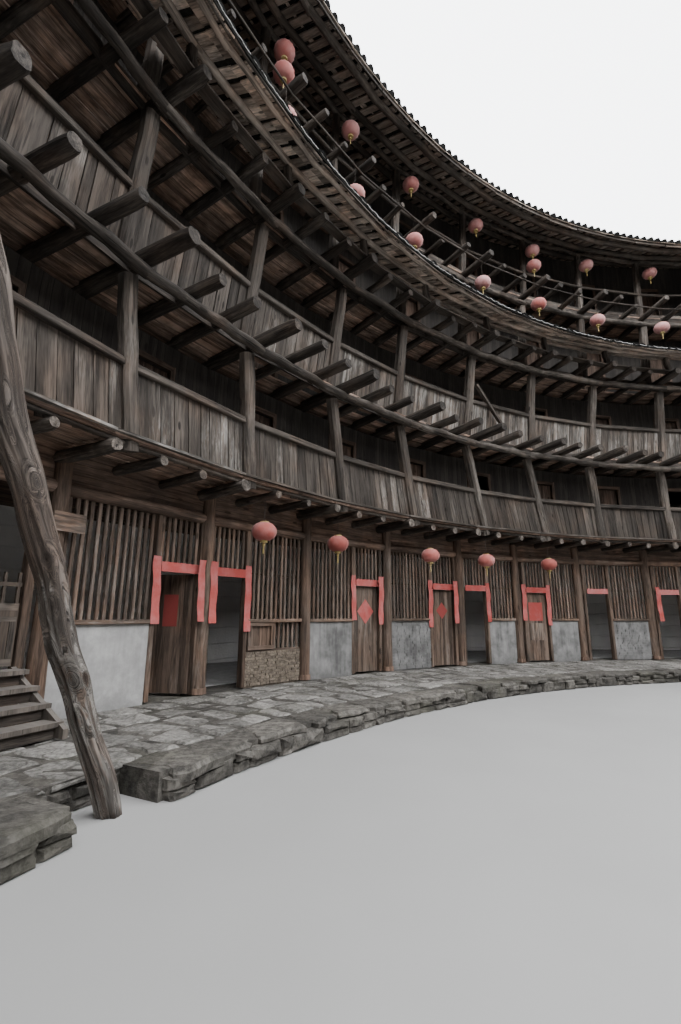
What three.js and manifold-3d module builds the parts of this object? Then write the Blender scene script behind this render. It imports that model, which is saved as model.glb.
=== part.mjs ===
// A five-storey tulou roundhouse: a closed ring of rooms inside a rammed-earth wall,
// with timber galleries around an open courtyard. It is a 1:2 scale model.
// Driving dimensions are the real building's metres; LENGTH turns them into model millimetres.
// Origin: on the ground at the centre of the courtyard. +Z is up.
// Angles are degrees about the centre, counted from +X towards +Y.

import * as THREE from "three";
import { mergeVertices } from "three/addons/utils/BufferGeometryUtils.js";
import Module from "manifold-3d";

const wasm = await Module();
wasm.setup();

// Scale of the model
const SCALE = 0.5;
const LENGTH = 1000 * SCALE;

// Plan: one bay spans the same angle all the way round
const BAYS = 45;
const BAY = 360 / BAYS;
const ARC_START = 8;
const ARC_END = 21;
const SEAM = 0.0015;
const GAP = 0.0006;

// Radii
const KERB_R = 15.0;
const POST_R = 16.86;
const POST_DEPTH = 0.17;
const POST_WIDTH = 0.19;
const FLOOR_EDGE_R = 16.97;
const FRONT_R = 17.95;
const FRONT_DEPTH = 0.14;
const ROOM_END_R = 22.4;
const WALL_FOOT_R = 24.0;
const WALL_HEAD_R = 23.3;

// Heights: the walkway, then each floor's underside and top
const WALK_Z = 0.28;
const FLOORS = {
  "2f": { under: 3.68, top: 3.9, tip: 16.8, jitter: 0.05, logWidth: 0.22, rearLogs: 0 },
  "3f": { under: 6.2, top: 6.45, tip: 15.86, jitter: 0.13, logWidth: 0.2, rearLogs: 1 },
  "4f": { under: 8.9, top: 9.13, tip: 15.84, jitter: 0.1, logWidth: 0.19, rearLogs: 1 },
  "5f": { under: 11.41, top: 11.64, tip: 15.95, jitter: 0.22, logWidth: 0.17, rearLogs: 1 },
};
const LOGS_PER_BAY = 3;
const SEAM_SHIFT = 0.6;

// Galleries: how far they lean out, turn of foot and head in degrees, parapet and hand rail
const GALLERIES = {
  "2f": { lean: 0.24, foot: -0.6, head: 0.9, parapet: 0.98 },
  "3f": { lean: 0.3, foot: 0.2, head: -0.1, parapet: 1.04 },
  "4f": { lean: 0.16, foot: 0, head: 0, parapet: 0.14 },
  "5f": { lean: 0.14, foot: 0, head: 0, parapet: 0.14, rail: 0.87 },
};
const BEAM_DEPTH = 0.24;
const RAIL_DEPTH = 0.09;
const POST_OUT = 0.06;
const GALLERY_HEAD_Z = 13.9;
const ROOM_HEAD_Z = 14.5;
const GALLERY_DOOR = 1.85;

// Ground-floor front: doors, lattice windows and the beam over them
const DOOR_WIDTH = 0.8;
const DOOR_TOP = 2.3;
const SILL_Z = 1.5;
const LATTICE_TOP = 3.2;
const HEAD_Z = 3.28;
const JAMB = 0.1;

// Rammed-earth wall: windows high up and one gateway
const WALL_TOP = 14.2;
const WINDOW_WIDTH = 0.6;
const WINDOW_ROWS = [
  { sill: 9.9, head: 10.9 },
  { sill: 12.3, head: 13.2 },
];
const WINDOW_STEP = 3;
const WALL_BANDS = [0, 8.0, 11.6, WALL_TOP];
const WALL_PARTS = [
  { name: "south", from: 30, to: 36 },
  { name: "east", from: 36, to: 53 },
  { name: "north", from: 8, to: 19 },
  { name: "west", from: 19, to: 30 },
];
const GATE_WIDTH = 2.0;
const GATE_HEIGHT = 3.0;
const GATE_BAY = 33;

// Roofs: top faces in section, with their thickness
const ROOF = { eaveR: 15.35, eaveZ: 13.45, ridgeR: 20.3, ridgeZ: 15.9, outR: 25.2, outZ: 13.5 };
const ROOF_DEPTH = 0.22;
const SKIRT = { eaveR: 15.26, eaveZ: 9.49, topR: 16.72, topZ: 10.19 };
const SKIRT_DEPTH = 0.12;
const SKIRT_POST_R = 15.98;
const SKIRT_POST_DEPTH = 0.12;
const SKIRT_POST_WIDTH = 0.14;
const SKIRT_REAR_STEP = 2;
const PURLIN_DEPTH = 0.14;
const STUB_IN = 0.01;

// Lanterns
const LANTERN_R = 0.23;
const LANTERN_HEIGHT = 0.36;

// Colours from the photograph
const COLOURS = {
  stone: 0x6f6c66,
  earth: 0xa08a6c,
  wood: 0x554a40,
  silver: 0x7a7068,
  dark: 0x35302b,
  plaster: 0x8d8c88,
  tile: 0x3b3936,
  red: 0xa8332c,
};

const group = new THREE.Group();

// A point of the model from a radius, an angle and a height of the real building
function at(radius, degrees, height) {
  const a = THREE.MathUtils.degToRad(degrees);
  return new THREE.Vector3(
    radius * Math.cos(a) * LENGTH,
    radius * Math.sin(a) * LENGTH,
    height * LENGTH,
  );
}

// The angle that a length spans at a radius
function span(length, radius) {
  return THREE.MathUtils.radToDeg(length / radius);
}

// A repeatable value between -1 and 1 for the irregular logs
function uneven(index, salt) {
  const s = Math.sin(index * 12.9898 + salt * 78.233) * 43758.5453;
  return 2 * (s - Math.floor(s)) - 1;
}

// The main roof's underside at a radius, less a hair so that what carries it stays clear
function underRoof(radius) {
  const inner = radius < ROOF.ridgeR;
  const edgeR = inner ? ROOF.eaveR : ROOF.outR;
  const edgeZ = inner ? ROOF.eaveZ : ROOF.outZ;
  const share = (radius - edgeR) / (ROOF.ridgeR - edgeR);
  return edgeZ + (ROOF.ridgeZ - edgeZ) * share - ROOF_DEPTH - GAP;
}

function solidOf(geometry) {
  const bare = new THREE.BufferGeometry();
  bare.setAttribute("position", geometry.getAttribute("position"));
  if (geometry.index) bare.setIndex(geometry.index);
  const merged = mergeVertices(bare, 1e-3);
  const made = new wasm.Manifold(
    new wasm.Mesh({
      numProp: 3,
      vertProperties: merged.attributes.position.array,
      triVerts: new Uint32Array(merged.index.array),
    }),
  );
  if (made.volume() < 0) throw new Error("a piece is inside out");
  return made;
}

function geometryOf(solid) {
  const mesh = solid.getMesh();
  const geometry = new THREE.BufferGeometry();
  geometry.setAttribute("position", new THREE.BufferAttribute(mesh.vertProperties, 3));
  geometry.setIndex(new THREE.BufferAttribute(mesh.triVerts, 1));
  geometry.computeVertexNormals();
  return geometry;
}

function join(geometries) {
  return geometryOf(geometries.map(solidOf).reduce((a, b) => a.add(b)));
}

// A closed surface from lists of four-cornered faces that share their corners
class Surface {
  constructor() {
    this.positions = [];
  }

  triangle(a, b, c) {
    for (const p of [a, b, c]) this.positions.push(p.x, p.y, p.z);
  }

  quad(a, b, c, d) {
    this.triangle(a, b, c);
    this.triangle(a, c, d);
  }

  geometry() {
    const g = new THREE.BufferGeometry();
    g.setAttribute("position", new THREE.Float32BufferAttribute(this.positions, 3));
    const merged = mergeVertices(g, 1e-3);
    merged.computeVertexNormals();
    return merged;
  }
}

// A section in (radius, height), listed anticlockwise, swept through the stations
function sweep(section, stations) {
  const surface = new Surface();
  const rings = stations.map((deg) => section.map(([r, z]) => at(r, deg, z)));
  const last = rings.length - 1;
  for (let i = 0; i < last; i++) {
    for (let j = 0; j < section.length; j++) {
      const k = (j + 1) % section.length;
      surface.quad(rings[i][j], rings[i + 1][j], rings[i + 1][k], rings[i][k]);
    }
  }
  const flat = section.map(([r, z]) => new THREE.Vector2(r, z));
  for (const [a, b, c] of THREE.ShapeUtils.triangulateShape(flat, [])) {
    surface.triangle(rings[0][a], rings[0][b], rings[0][c]);
    surface.triangle(rings[last][a], rings[last][c], rings[last][b]);
  }
  return surface.geometry();
}

// Stations at every bay line, with the seam kept at both ends
function stationsOf(from, to) {
  const list = [from * BAY + SEAM];
  for (let k = from + 1; k < to; k++) list.push(k * BAY);
  list.push(to * BAY - SEAM);
  return list;
}

// A curved wall made of cells. A cell runs from angle a to angle b, and may have a hole
// { a, b, z0, z1 }, which is a doorway where z0 is the wall's foot.
// front(z) and back(z) give the radii; shift(z) leans the posts sideways.
function cellWall(cells, { z0, z1, front, back, shift = () => 0, topZ = () => z1 }) {
  const surface = new Surface();
  const f = (deg, z) => at(front(z), deg + shift(z), z === z1 ? topZ(front(z)) : z);
  const b = (deg, z) => at(back(z), deg + shift(z), z === z1 ? topZ(back(z)) : z);
  const both = (p, q, r, s) => {
    surface.quad(f(...p), f(...q), f(...r), f(...s));
    surface.quad(b(...s), b(...r), b(...q), b(...p));
  };
  // Through faces, between the front and the back, along one edge
  const edge = (p, q) => surface.quad(f(...q), b(...q), b(...p), f(...p));
  for (const cell of cells) {
    const hole = cell.hole;
    const [A, B, C, D] = [[cell.a, z0], [cell.b, z0], [cell.b, z1], [cell.a, z1]];
    edge(C, D);
    if (!hole) {
      both(D, C, B, A);
      edge(A, B);
      continue;
    }
    const notch = hole.z0 <= z0;
    const low = notch ? z0 : hole.z0;
    const [E, F] = [[hole.a, low], [hole.b, low]];
    const [G, H] = [[hole.b, hole.z1], [hole.a, hole.z1]];
    both(D, H, E, A);
    both(G, C, B, F);
    both(D, C, G, H);
    edge(E, H);
    edge(H, G);
    edge(G, F);
    if (notch) {
      edge(A, E);
      edge(F, B);
    } else {
      both(E, F, B, A);
      edge(F, E);
      edge(A, B);
    }
  }
  const first = cells[0];
  const final = cells[cells.length - 1];
  edge([first.a, z1], [first.a, z0]);
  edge([final.b, z0], [final.b, z1]);
  return surface.geometry();
}

function material(colour) {
  return new THREE.MeshStandardMaterial({ color: COLOURS[colour], roughness: 0.85 });
}

function addPiece(name, geometry, colour) {
  const mesh = new THREE.Mesh(geometry, material(colour));
  mesh.name = name;
  group.add(mesh);
  return mesh;
}

// A box of real sizes centred on a point
function block(width, depth, height, x, y, z) {
  const box = new THREE.BoxGeometry(width * LENGTH, depth * LENGTH, height * LENGTH);
  return box.translate(x * LENGTH, y * LENGTH, z * LENGTH);
}

// The ends of a bay, drawn in a little where the arc ends
function bayEnds(k, from, to) {
  return {
    a: k * BAY + (k === from ? SEAM : 0),
    b: (k + 1) * BAY - (k === to - 1 ? SEAM : 0),
  };
}

// A rectangle in (radius, height), anticlockwise
function rectangle(innerR, outerR, low, high) {
  return [[innerR, low], [outerR, low], [outerR, high], [innerR, high]];
}

const ARCS = [
  { name: "front", from: ARC_START, to: ARC_END },
  { name: "rear", from: ARC_END, to: ARC_START + BAYS },
];
// The first gallery is in shorter lengths
const LOW_GALLERY_ARCS = [
  { name: "front_east", from: ARC_START, to: 12 },
  { name: "front_middle", from: 12, to: 16 },
  { name: "front_west", from: 16, to: ARC_END },
  ARCS[1],
];

// Walkway: a stone slab ring with a recess in its kerb for the foot of the prop
const PROP_RECESS = { from: 153.6, to: 156.8, r: 15.62 };

function slabRing(outline, low, high) {
  const shape = new THREE.Shape(outline.map((p) => new THREE.Vector2(p.x, p.y)));
  const geometry = new THREE.ExtrudeGeometry(shape, {
    depth: (high - low) * LENGTH,
    bevelEnabled: false,
  });
  geometry.translate(0, 0, low * LENGTH);
  return geometryOf(solidOf(geometry));
}

function walkway({ name, from, to }) {
  const stations = stationsOf(from, to);
  const inner = [];
  for (let i = 0; i < stations.length; i++) {
    inner.push(at(KERB_R, stations[i], 0));
    const next = stations[i + 1];
    if (stations[i] < PROP_RECESS.from && next > PROP_RECESS.to) {
      inner.push(at(KERB_R, PROP_RECESS.from, 0));
      inner.push(at(PROP_RECESS.r, PROP_RECESS.from, 0));
      inner.push(at(PROP_RECESS.r, PROP_RECESS.to, 0));
      inner.push(at(KERB_R, PROP_RECESS.to, 0));
    }
  }
  const outer = stations.map((deg) => at(ROOM_END_R - GAP, deg, 0));
  const outline = [...outer, ...inner.reverse()];
  addPiece("stone_walkway_" + name, slabRing(outline, 0, WALK_Z), "stone");
}

// Floors: a ring of boards on joists, whose log ends stand out into the courtyard
function floorOutline(from, to, floor, logs) {
  const stations = stationsOf(from, to);
  const inner = [];
  for (let k = from; k < to; k++) {
    const bare = k === from || logs === 0;
    if (bare) inner.push(at(FLOOR_EDGE_R, stations[k - from], 0));
    for (let i = 0; i < logs; i++) {
      const index = (k % BAYS) * LOGS_PER_BAY + i;
      const main = i === 0;
      const centre = (k + i / LOGS_PER_BAY) * BAY + (k === from && main ? SEAM_SHIFT : 0);
      const turn = main ? 0 : 0.25 * uneven(index, 1);
      const tip = floor.tip + (main ? -floor.jitter : floor.jitter * uneven(index, 2));
      const half = span(floor.logWidth / 2, FLOOR_EDGE_R);
      const halfTip = span(floor.logWidth / 2, tip);
      inner.push(at(FLOOR_EDGE_R, centre - half, 0));
      inner.push(at(tip, centre - halfTip + turn, 0));
      inner.push(at(tip, centre + halfTip + turn, 0));
      inner.push(at(FLOOR_EDGE_R, centre + half, 0));
    }
  }
  inner.push(at(FLOOR_EDGE_R, stations[stations.length - 1], 0));
  const outer = stations.map((deg) => at(ROOM_END_R - GAP, deg, 0));
  return [...outer, ...inner.reverse()];
}

function floorRing(level, { name, from, to }) {
  const floor = FLOORS[level];
  const logs = name === "front" ? LOGS_PER_BAY : floor.rearLogs;
  const outline = floorOutline(from, to, floor, logs);
  addPiece(`floor_${level}_${name}`, slabRing(outline, floor.under, floor.top), "wood");
}

// Galleries: posts, boarded parapet and top beam of one storey, leaning as the real posts do
function gallery(level, above, { name, from, to }, topZ) {
  const floor = FLOORS[level];
  const g = GALLERIES[level];
  const z0 = floor.top;
  const z1 = above;
  const along = (z) => (z - z0) / (z1 - z0);
  const front = (z) => POST_R + POST_OUT - g.lean * along(z);
  const back = (z) => front(z) + POST_DEPTH;
  const shift = (z) => g.foot + (g.head - g.foot) * along(z);
  const half = span(POST_WIDTH / 2, POST_R);
  const band = (low, high, openLow, openHigh, top) => {
    const cells = [];
    for (let k = from; k < to; k++) {
      const hole = { a: k * BAY + half, b: (k + 1) * BAY - half, z0: openLow, z1: openHigh };
      cells.push({ ...bayEnds(k, from, to), hole });
    }
    return cellWall(cells, { z0: low, z1: high, front, back, shift, topZ: top });
  };
  const sill = z0 + g.parapet;
  const head = z1 - BEAM_DEPTH;
  let geometry = null;
  if (g.rail) {
    const rail = z0 + g.rail;
    const lower = band(z0, rail, sill, rail - RAIL_DEPTH / 2);
    geometry = join([lower, band(rail, z1, rail + RAIL_DEPTH / 2, head, topZ)]);
  } else {
    geometry = band(z0, z1, sill, head, topZ);
  }
  addPiece(`gallery_${level}_${name}`, geometry, level === "2f" ? "silver" : "wood");
}

// Room fronts behind the galleries: a plain boarded wall, with a door in each seen bay
function roomFront(level, above, { name, from, to }, topZ) {
  const z0 = FLOORS[level].top;
  const z1 = above;
  const half = span(DOOR_WIDTH / 2, FRONT_R);
  const cells = [];
  for (let k = from; k < to; k++) {
    const middle = (k + 0.5) * BAY;
    const door = { a: middle - half, b: middle + half, z0, z1: z0 + GALLERY_DOOR };
    cells.push({ ...bayEnds(k, from, to), hole: name === "front" ? door : null });
  }
  const front = () => FRONT_R;
  const back = () => FRONT_R + FRONT_DEPTH;
  const geometry = cellWall(cells, { z0, z1, front, back, topZ });
  addPiece(`room_front_${level}_${name}`, geometry, "dark");
}

// Ground-floor front. Each seen bay has a door beside one of its posts and a lattice window.
// A door is given by the angle of its lower jamb, and the hinged doors have their own leaf.
const DOOR_SPAN = span(DOOR_WIDTH, FRONT_R);
const DOOR_STARTS = {
  8: 69.4,
  9: 77.4,
  10: 85.4,
  11: 93.3,
  12: 101.3,
  13: 108.6,
  14: 115.9,
  15: 119.7,
  16: 128.1,
  17: 140.5,
  18: 143.9,
};
const HINGED_DOORS = { 13: 6, 15: 4, 16: 3, 18: 1 };
const STAIR_BAY = 19;
const STAIR_OPENING = { from: 152.75, to: 156.3, floor: 0.95 };
const LATTICE_MARGIN = 1;
const REAR_LATTICE = { from: 1, to: 4.6 };
const WINDOW_POST = 0.15;
const TAB_IN = 0.02;
const TAB_RISE = 0.1;
// The facets of the front come this near to the centre, less a hair
const FACET_R = FRONT_R * Math.cos(THREE.MathUtils.degToRad(BAY / 2)) - 0.006;

function windowBeside(bay) {
  const door = DOOR_STARTS[bay];
  const jamb = span(JAMB, FRONT_R);
  const post = span(WINDOW_POST, FRONT_R);
  const doorEnd = door + DOOR_SPAN;
  const below = door - bay * BAY;
  const above = (bay + 1) * BAY - doorEnd;
  return below > above
    ? { a: bay * BAY + post, b: door - 2 * jamb }
    : { a: doorEnd + 2 * jamb, b: (bay + 1) * BAY - post };
}

// Cells in angular order, cut where a hinged door leaves the wall open from foot to head
function groundSegments() {
  const segments = [[]];
  let cursor = ARC_START * BAY + SEAM;
  const put = (to, hole) => {
    if (to <= cursor) return;
    segments[segments.length - 1].push({ a: cursor, b: to, hole });
    cursor = to;
  };
  for (let k = ARC_START; k < ARC_END; k++) {
    // Some doors start a little before their own bay or end a little past it
    const end = Math.min(bayEnds(k, ARC_START, ARC_END).b, DOOR_STARTS[k + 1] ?? Infinity);
    if (k === STAIR_BAY) {
      const { from, to, floor } = STAIR_OPENING;
      put(end, { a: from, b: to, z0: floor, z1: LATTICE_TOP });
      continue;
    }
    if (!(k in DOOR_STARTS)) {
      const a = k * BAY + LATTICE_MARGIN;
      const b = (k + 1) * BAY - LATTICE_MARGIN;
      put(end, { a, b, z0: SILL_Z, z1: LATTICE_TOP });
      continue;
    }
    const door = DOOR_STARTS[k];
    const doorEnd = door + DOOR_SPAN;
    const lattice = windowBeside(k);
    const pane = { a: lattice.a, b: lattice.b, z0: SILL_Z, z1: LATTICE_TOP };
    const jamb = span(JAMB, FRONT_R);
    const doorCell = () => {
      if (k in HINGED_DOORS) {
        put(door, null);
        segments.push([]);
        cursor = doorEnd;
      } else {
        put(doorEnd + jamb, { a: door, b: doorEnd, z0: WALK_Z, z1: DOOR_TOP });
      }
    };
    if (lattice.a < door) {
      put(door - jamb, pane);
      doorCell();
      put(end, null);
    } else {
      doorCell();
      put(end, pane);
    }
  }
  return segments;
}

function groundFront() {
  const shape = {
    z0: WALK_Z,
    z1: HEAD_Z,
    front: () => FRONT_R,
    back: () => FRONT_R + FRONT_DEPTH,
  };
  groundSegments().forEach((cells, i) => {
    addPiece("ground_front_" + (i + 1), cellWall(cells, shape), "plaster");
  });
  const top = FLOORS["2f"].under;
  const head = rectangle(FRONT_R, FRONT_R + FRONT_DEPTH, HEAD_Z, top);
  const tab = rectangle(
    FRONT_R + TAB_IN, FRONT_R + FRONT_DEPTH - TAB_IN, DOOR_TOP, HEAD_Z + TAB_RISE);
  const gap = span(GAP, FRONT_R);
  const tabs = Object.keys(HINGED_DOORS).map((bay) => {
    const start = DOOR_STARTS[bay];
    return sweep(tab, [start + gap, start + DOOR_SPAN - gap]);
  });
  const beam = sweep(head, stationsOf(ARC_START, ARC_END));
  addPiece("front_head_beam", join([beam, ...tabs]), "dark");
  rearGroundFront({ ...shape, z1: top }, ARCS[1]);
}

function rearGroundFront(shape, { from, to }) {
  const half = span(GATE_WIDTH / 2, FRONT_R);
  const cells = [];
  for (let k = from; k < to; k++) {
    const middle = (k + 0.5) * BAY;
    const passage = { a: middle - half, b: middle + half, z0: WALK_Z, z1: GATE_HEIGHT };
    const lattice = {
      a: k * BAY + REAR_LATTICE.from,
      b: k * BAY + REAR_LATTICE.to,
      z0: SILL_Z,
      z1: LATTICE_TOP,
    };
    cells.push({ ...bayEnds(k, from, to), hole: k === GATE_BAY ? passage : lattice });
  }
  addPiece("ground_front_rear", cellWall(cells, shape), "plaster");
}

// Rammed-earth outer wall, thinner towards its head
function outerWall({ name, from, to }) {
  const front = () => ROOM_END_R;
  const back = (z) => WALL_FOOT_R - ((WALL_FOOT_R - WALL_HEAD_R) * z) / WALL_TOP;
  const bands = WALL_BANDS.slice(1).map((high, band) => {
    const cells = [];
    for (let k = from; k < to; k++) {
      cells.push({ ...bayEnds(k, from, to), hole: wallHole(k, band) });
    }
    const topZ = high === WALL_TOP ? underRoof : undefined;
    return cellWall(cells, { z0: WALL_BANDS[band], z1: high, front, back, topZ });
  });
  addPiece("outer_wall_" + name, join(bands), "earth");
}

function wallHole(bay, band) {
  const middle = (bay + 0.5) * BAY;
  if (band === 0) {
    if (bay !== GATE_BAY) return null;
    const half = span(GATE_WIDTH / 2, ROOM_END_R);
    return { a: middle - half, b: middle + half, z0: 0, z1: GATE_HEIGHT };
  }
  if (bay % WINDOW_STEP !== 0) return null;
  const half = span(WINDOW_WIDTH / 2, ROOM_END_R);
  const row = WINDOW_ROWS[band - 1];
  return { a: middle - half, b: middle + half, z0: row.sill, z1: row.head };
}

// Roofs
function mainRoof({ name, from, to }) {
  const under = (z) => z - ROOF_DEPTH;
  const section = [
    [ROOF.eaveR, under(ROOF.eaveZ)],
    [ROOF.ridgeR, under(ROOF.ridgeZ)],
    [ROOF.outR, under(ROOF.outZ)],
    [ROOF.outR, ROOF.outZ],
    [ROOF.ridgeR, ROOF.ridgeZ],
    [ROOF.eaveR, ROOF.eaveZ],
  ];
  addPiece("main_roof_" + name, sweep(section, stationsOf(from, to)), "tile");
}

function skirtUnder(radius) {
  const slope = (SKIRT.topZ - SKIRT.eaveZ) / (SKIRT.topR - SKIRT.eaveR);
  return SKIRT.eaveZ - SKIRT_DEPTH + (radius - SKIRT.eaveR) * slope;
}

function skirtRoof({ name, from, to }) {
  const section = [
    [SKIRT.eaveR, SKIRT.eaveZ - SKIRT_DEPTH],
    [SKIRT.topR, SKIRT.topZ - SKIRT_DEPTH],
    [SKIRT.topR, SKIRT.topZ],
    [SKIRT.eaveR, SKIRT.eaveZ],
  ];
  addPiece("skirt_roof_" + name, sweep(section, stationsOf(from, to)), "tile");
  const z0 = FLOORS["4f"].top;
  const z1 = skirtUnder(SKIRT_POST_R) - GAP;
  const half = span(SKIRT_POST_WIDTH / 2, SKIRT_POST_R);
  const back = SKIRT_POST_R + SKIRT_POST_DEPTH;
  const purlin = rectangle(SKIRT_POST_R, back, z1 - PURLIN_DEPTH, z1);
  const stub = rectangle(
    SKIRT_POST_R + STUB_IN, back - STUB_IN, z0, z1 - PURLIN_DEPTH / 2);
  const pieces = [sweep(purlin, stationsOf(from, to))];
  const step = name === "front" ? 1 : SKIRT_REAR_STEP;
  for (let k = from; k < to; k += step) {
    const centre = k * BAY + (k === from ? SEAM_SHIFT : 0);
    pieces.push(sweep(stub, [centre - half, centre + half]));
  }
  addPiece("skirt_purlin_" + name, join(pieces), "wood");
}

// Doors of the ground floor, each on a pintle near one jamb. Rest angles are as photographed.
const DOOR_CLEAR = 0.022;
const LEAF_DEPTH = 0.05;
const LEAF_LOW = 0.3;
const LEAF_HIGH = 2.278;
const PINTLE_R = 0.018;
const PINTLE_IN = 0.025;
const PINTLE_RISE = 0.1;
const LEAF_BACK = 0.01;

// A leaf's pivot pin at the axis, from a hair over the floor
function pintle(floor, high) {
  const height = high - floor - GAP;
  const pin = new THREE.CylinderGeometry(
    PINTLE_R * LENGTH, PINTLE_R * LENGTH, height * LENGTH, 8);
  pin.rotateX(Math.PI / 2);
  return pin.translate(0, 0, (floor + GAP + height / 2) * LENGTH);
}

// The hinge stands at the leaf's lower-angle end; the leaf opens inward, away from the courtyard
function doorLeaf(name, bay, restOpen, colour) {
  const start = DOOR_STARTS[bay] + span(DOOR_CLEAR + PINTLE_IN, FRONT_R);
  const width = DOOR_WIDTH - 2 * DOOR_CLEAR;
  const leaf = block(
    width, LEAF_DEPTH, LEAF_HIGH - LEAF_LOW,
    width / 2 - PINTLE_IN, 0, (LEAF_HIGH + LEAF_LOW) / 2,
  );
  const mesh = addPiece(name, join([leaf, pintle(WALK_Z, LEAF_LOW + PINTLE_RISE)]), colour);
  const pivot = at(FRONT_R + FRONT_DEPTH - LEAF_DEPTH / 2 - LEAF_BACK, start, 0);
  mesh.position.copy(pivot);
  const chord = DOOR_STARTS[bay] + DOOR_SPAN / 2;
  mesh.rotation.z = THREE.MathUtils.degToRad(chord + 90 - restOpen);
}

// The stair up to the half gate, in a frame turned to its bay: x along the wall, y outward
const STAIR = {
  radius: 17.5,
  steps: 4,
  going: 0.24,
  tread: { depth: 0.264, thickness: 0.05, forward: 0.02 },
  string: { width: 0.06, foot: 0.12, heel: 0.2, head: 0.02, under: 0.22, toe: 0.1 },
};

function stair() {
  const { from, to, floor } = STAIR_OPENING;
  const { steps, going, tread, string } = STAIR;
  const width = THREE.MathUtils.degToRad(to - from) * STAIR.radius;
  const rise = (floor - WALK_Z) / steps;
  const foot = FACET_R - steps * going;
  const pieces = [];
  for (let i = 0; i < steps; i++) {
    const y = foot + (i + 0.5) * going - tread.forward;
    const z = WALK_Z + (i + 1) * rise - tread.thickness / 2;
    pieces.push(block(width, tread.depth, tread.thickness, 0, y, z));
  }
  const outline = new THREE.Shape([
    new THREE.Vector2(foot - string.foot, WALK_Z).multiplyScalar(LENGTH),
    new THREE.Vector2(foot + string.heel, WALK_Z).multiplyScalar(LENGTH),
    new THREE.Vector2(FACET_R, floor - string.under).multiplyScalar(LENGTH),
    new THREE.Vector2(FACET_R, floor + string.head).multiplyScalar(LENGTH),
    new THREE.Vector2(foot - string.foot, WALK_Z + string.toe).multiplyScalar(LENGTH),
  ]);
  for (const x of [-width / 2, width / 2 - string.width]) {
    const side = new THREE.ExtrudeGeometry(outline, {
      depth: string.width * LENGTH,
      bevelEnabled: false,
    });
    side.rotateX(Math.PI / 2);
    side.rotateZ(Math.PI / 2);
    side.translate(x * LENGTH, 0, 0);
    pieces.push(side);
  }
  const mesh = addPiece("stair_flight", join(pieces), "wood");
  mesh.rotation.z = THREE.MathUtils.degToRad((from + to) / 2 - 90);
}

// Half gate at the stair's head, hinged at the higher angle, away from the lattice
const GATE = {
  low: 0.97,
  panel: 0.75,
  high: 2.1,
  depth: 0.05,
  clear: 0.022,
  bars: 7,
  bar: 0.035,
  barHeight: 0.4,
  rail: 0.05,
  railDrop: 0.15,
  edge: 0.03,
};

function stairGate() {
  const { from, to, floor } = STAIR_OPENING;
  const width = THREE.MathUtils.degToRad(to - from) * FRONT_R - 2 * GATE.clear;
  const middle = PINTLE_IN - width / 2;
  const pieces = [
    block(width, GATE.depth, GATE.panel, middle, 0, GATE.low + GATE.panel / 2),
    block(width, GATE.rail, GATE.rail, middle, 0, GATE.high - GATE.railDrop),
    pintle(floor, floor + PINTLE_RISE),
  ];
  for (let i = 0; i < GATE.bars; i++) {
    const x = PINTLE_IN - GATE.edge - (i * (width - 2 * GATE.edge)) / (GATE.bars - 1);
    const z = GATE.high - GATE.barHeight / 2;
    pieces.push(block(GATE.bar, GATE.bar, GATE.barHeight, x, 0, z));
  }
  const mesh = addPiece("stair_gate", join(pieces), "wood");
  const hinge = to - span(GATE.clear + PINTLE_IN, FRONT_R);
  mesh.position.copy(at(FRONT_R + FRONT_DEPTH / 2, hinge, 0));
  mesh.rotation.z = THREE.MathUtils.degToRad((from + to) / 2 + 90);
}

// A rough trunk that props the third floor's log at the next post line
const PROP = {
  foot: { r: 15.31, deg: 155.2, z: 0 },
  head: { r: 16.22, deg: 160.6, z: FLOORS["3f"].under - GAP },
  footR: 0.125,
  headR: 0.115,
  rings: 7,
  sides: 8,
  bend: 0.05,
  bends: 9,
};

function prop() {
  const { rings, sides } = PROP;
  const a = at(PROP.foot.r, PROP.foot.deg, PROP.foot.z);
  const b = at(PROP.head.r, PROP.head.deg, PROP.head.z);
  const surface = new Surface();
  const corners = [];
  for (let i = 0; i <= rings; i++) {
    const t = i / rings;
    const centre = a.clone().lerp(b, t);
    const bend = i % rings === 0 ? 0 : PROP.bend * Math.sin(t * PROP.bends) * LENGTH;
    const radius = (PROP.footR + (PROP.headR - PROP.footR) * t) * LENGTH;
    const ring = [];
    for (let j = 0; j < sides; j++) {
      const angle = (j / sides) * 2 * Math.PI;
      ring.push(new THREE.Vector3(
        centre.x + bend + radius * Math.cos(angle),
        centre.y + radius * Math.sin(angle),
        centre.z,
      ));
    }
    corners.push(ring);
  }
  for (let i = 0; i < rings; i++) {
    for (let j = 0; j < sides; j++) {
      const k = (j + 1) % sides;
      surface.quad(corners[i][j], corners[i][k], corners[i + 1][k], corners[i + 1][j]);
    }
  }
  for (let j = 1; j < sides - 1; j++) {
    surface.triangle(corners[0][0], corners[0][j + 1], corners[0][j]);
    surface.triangle(corners[rings][0], corners[rings][j], corners[rings][j + 1]);
  }
  addPiece("leaning_prop", surface.geometry(), "wood");
}

// A lantern on its string, hung from a height, as separate closed shapes at the axis
const LANTERN = {
  string: 0.024,
  tassel: { width: 0.05, height: 0.26, drop: 0.1 },
  profile: [[0, -0.5], [0.55, -0.45], [1, 0], [0.55, 0.45], [0, 0.5]],
  sides: 8,
};

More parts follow.
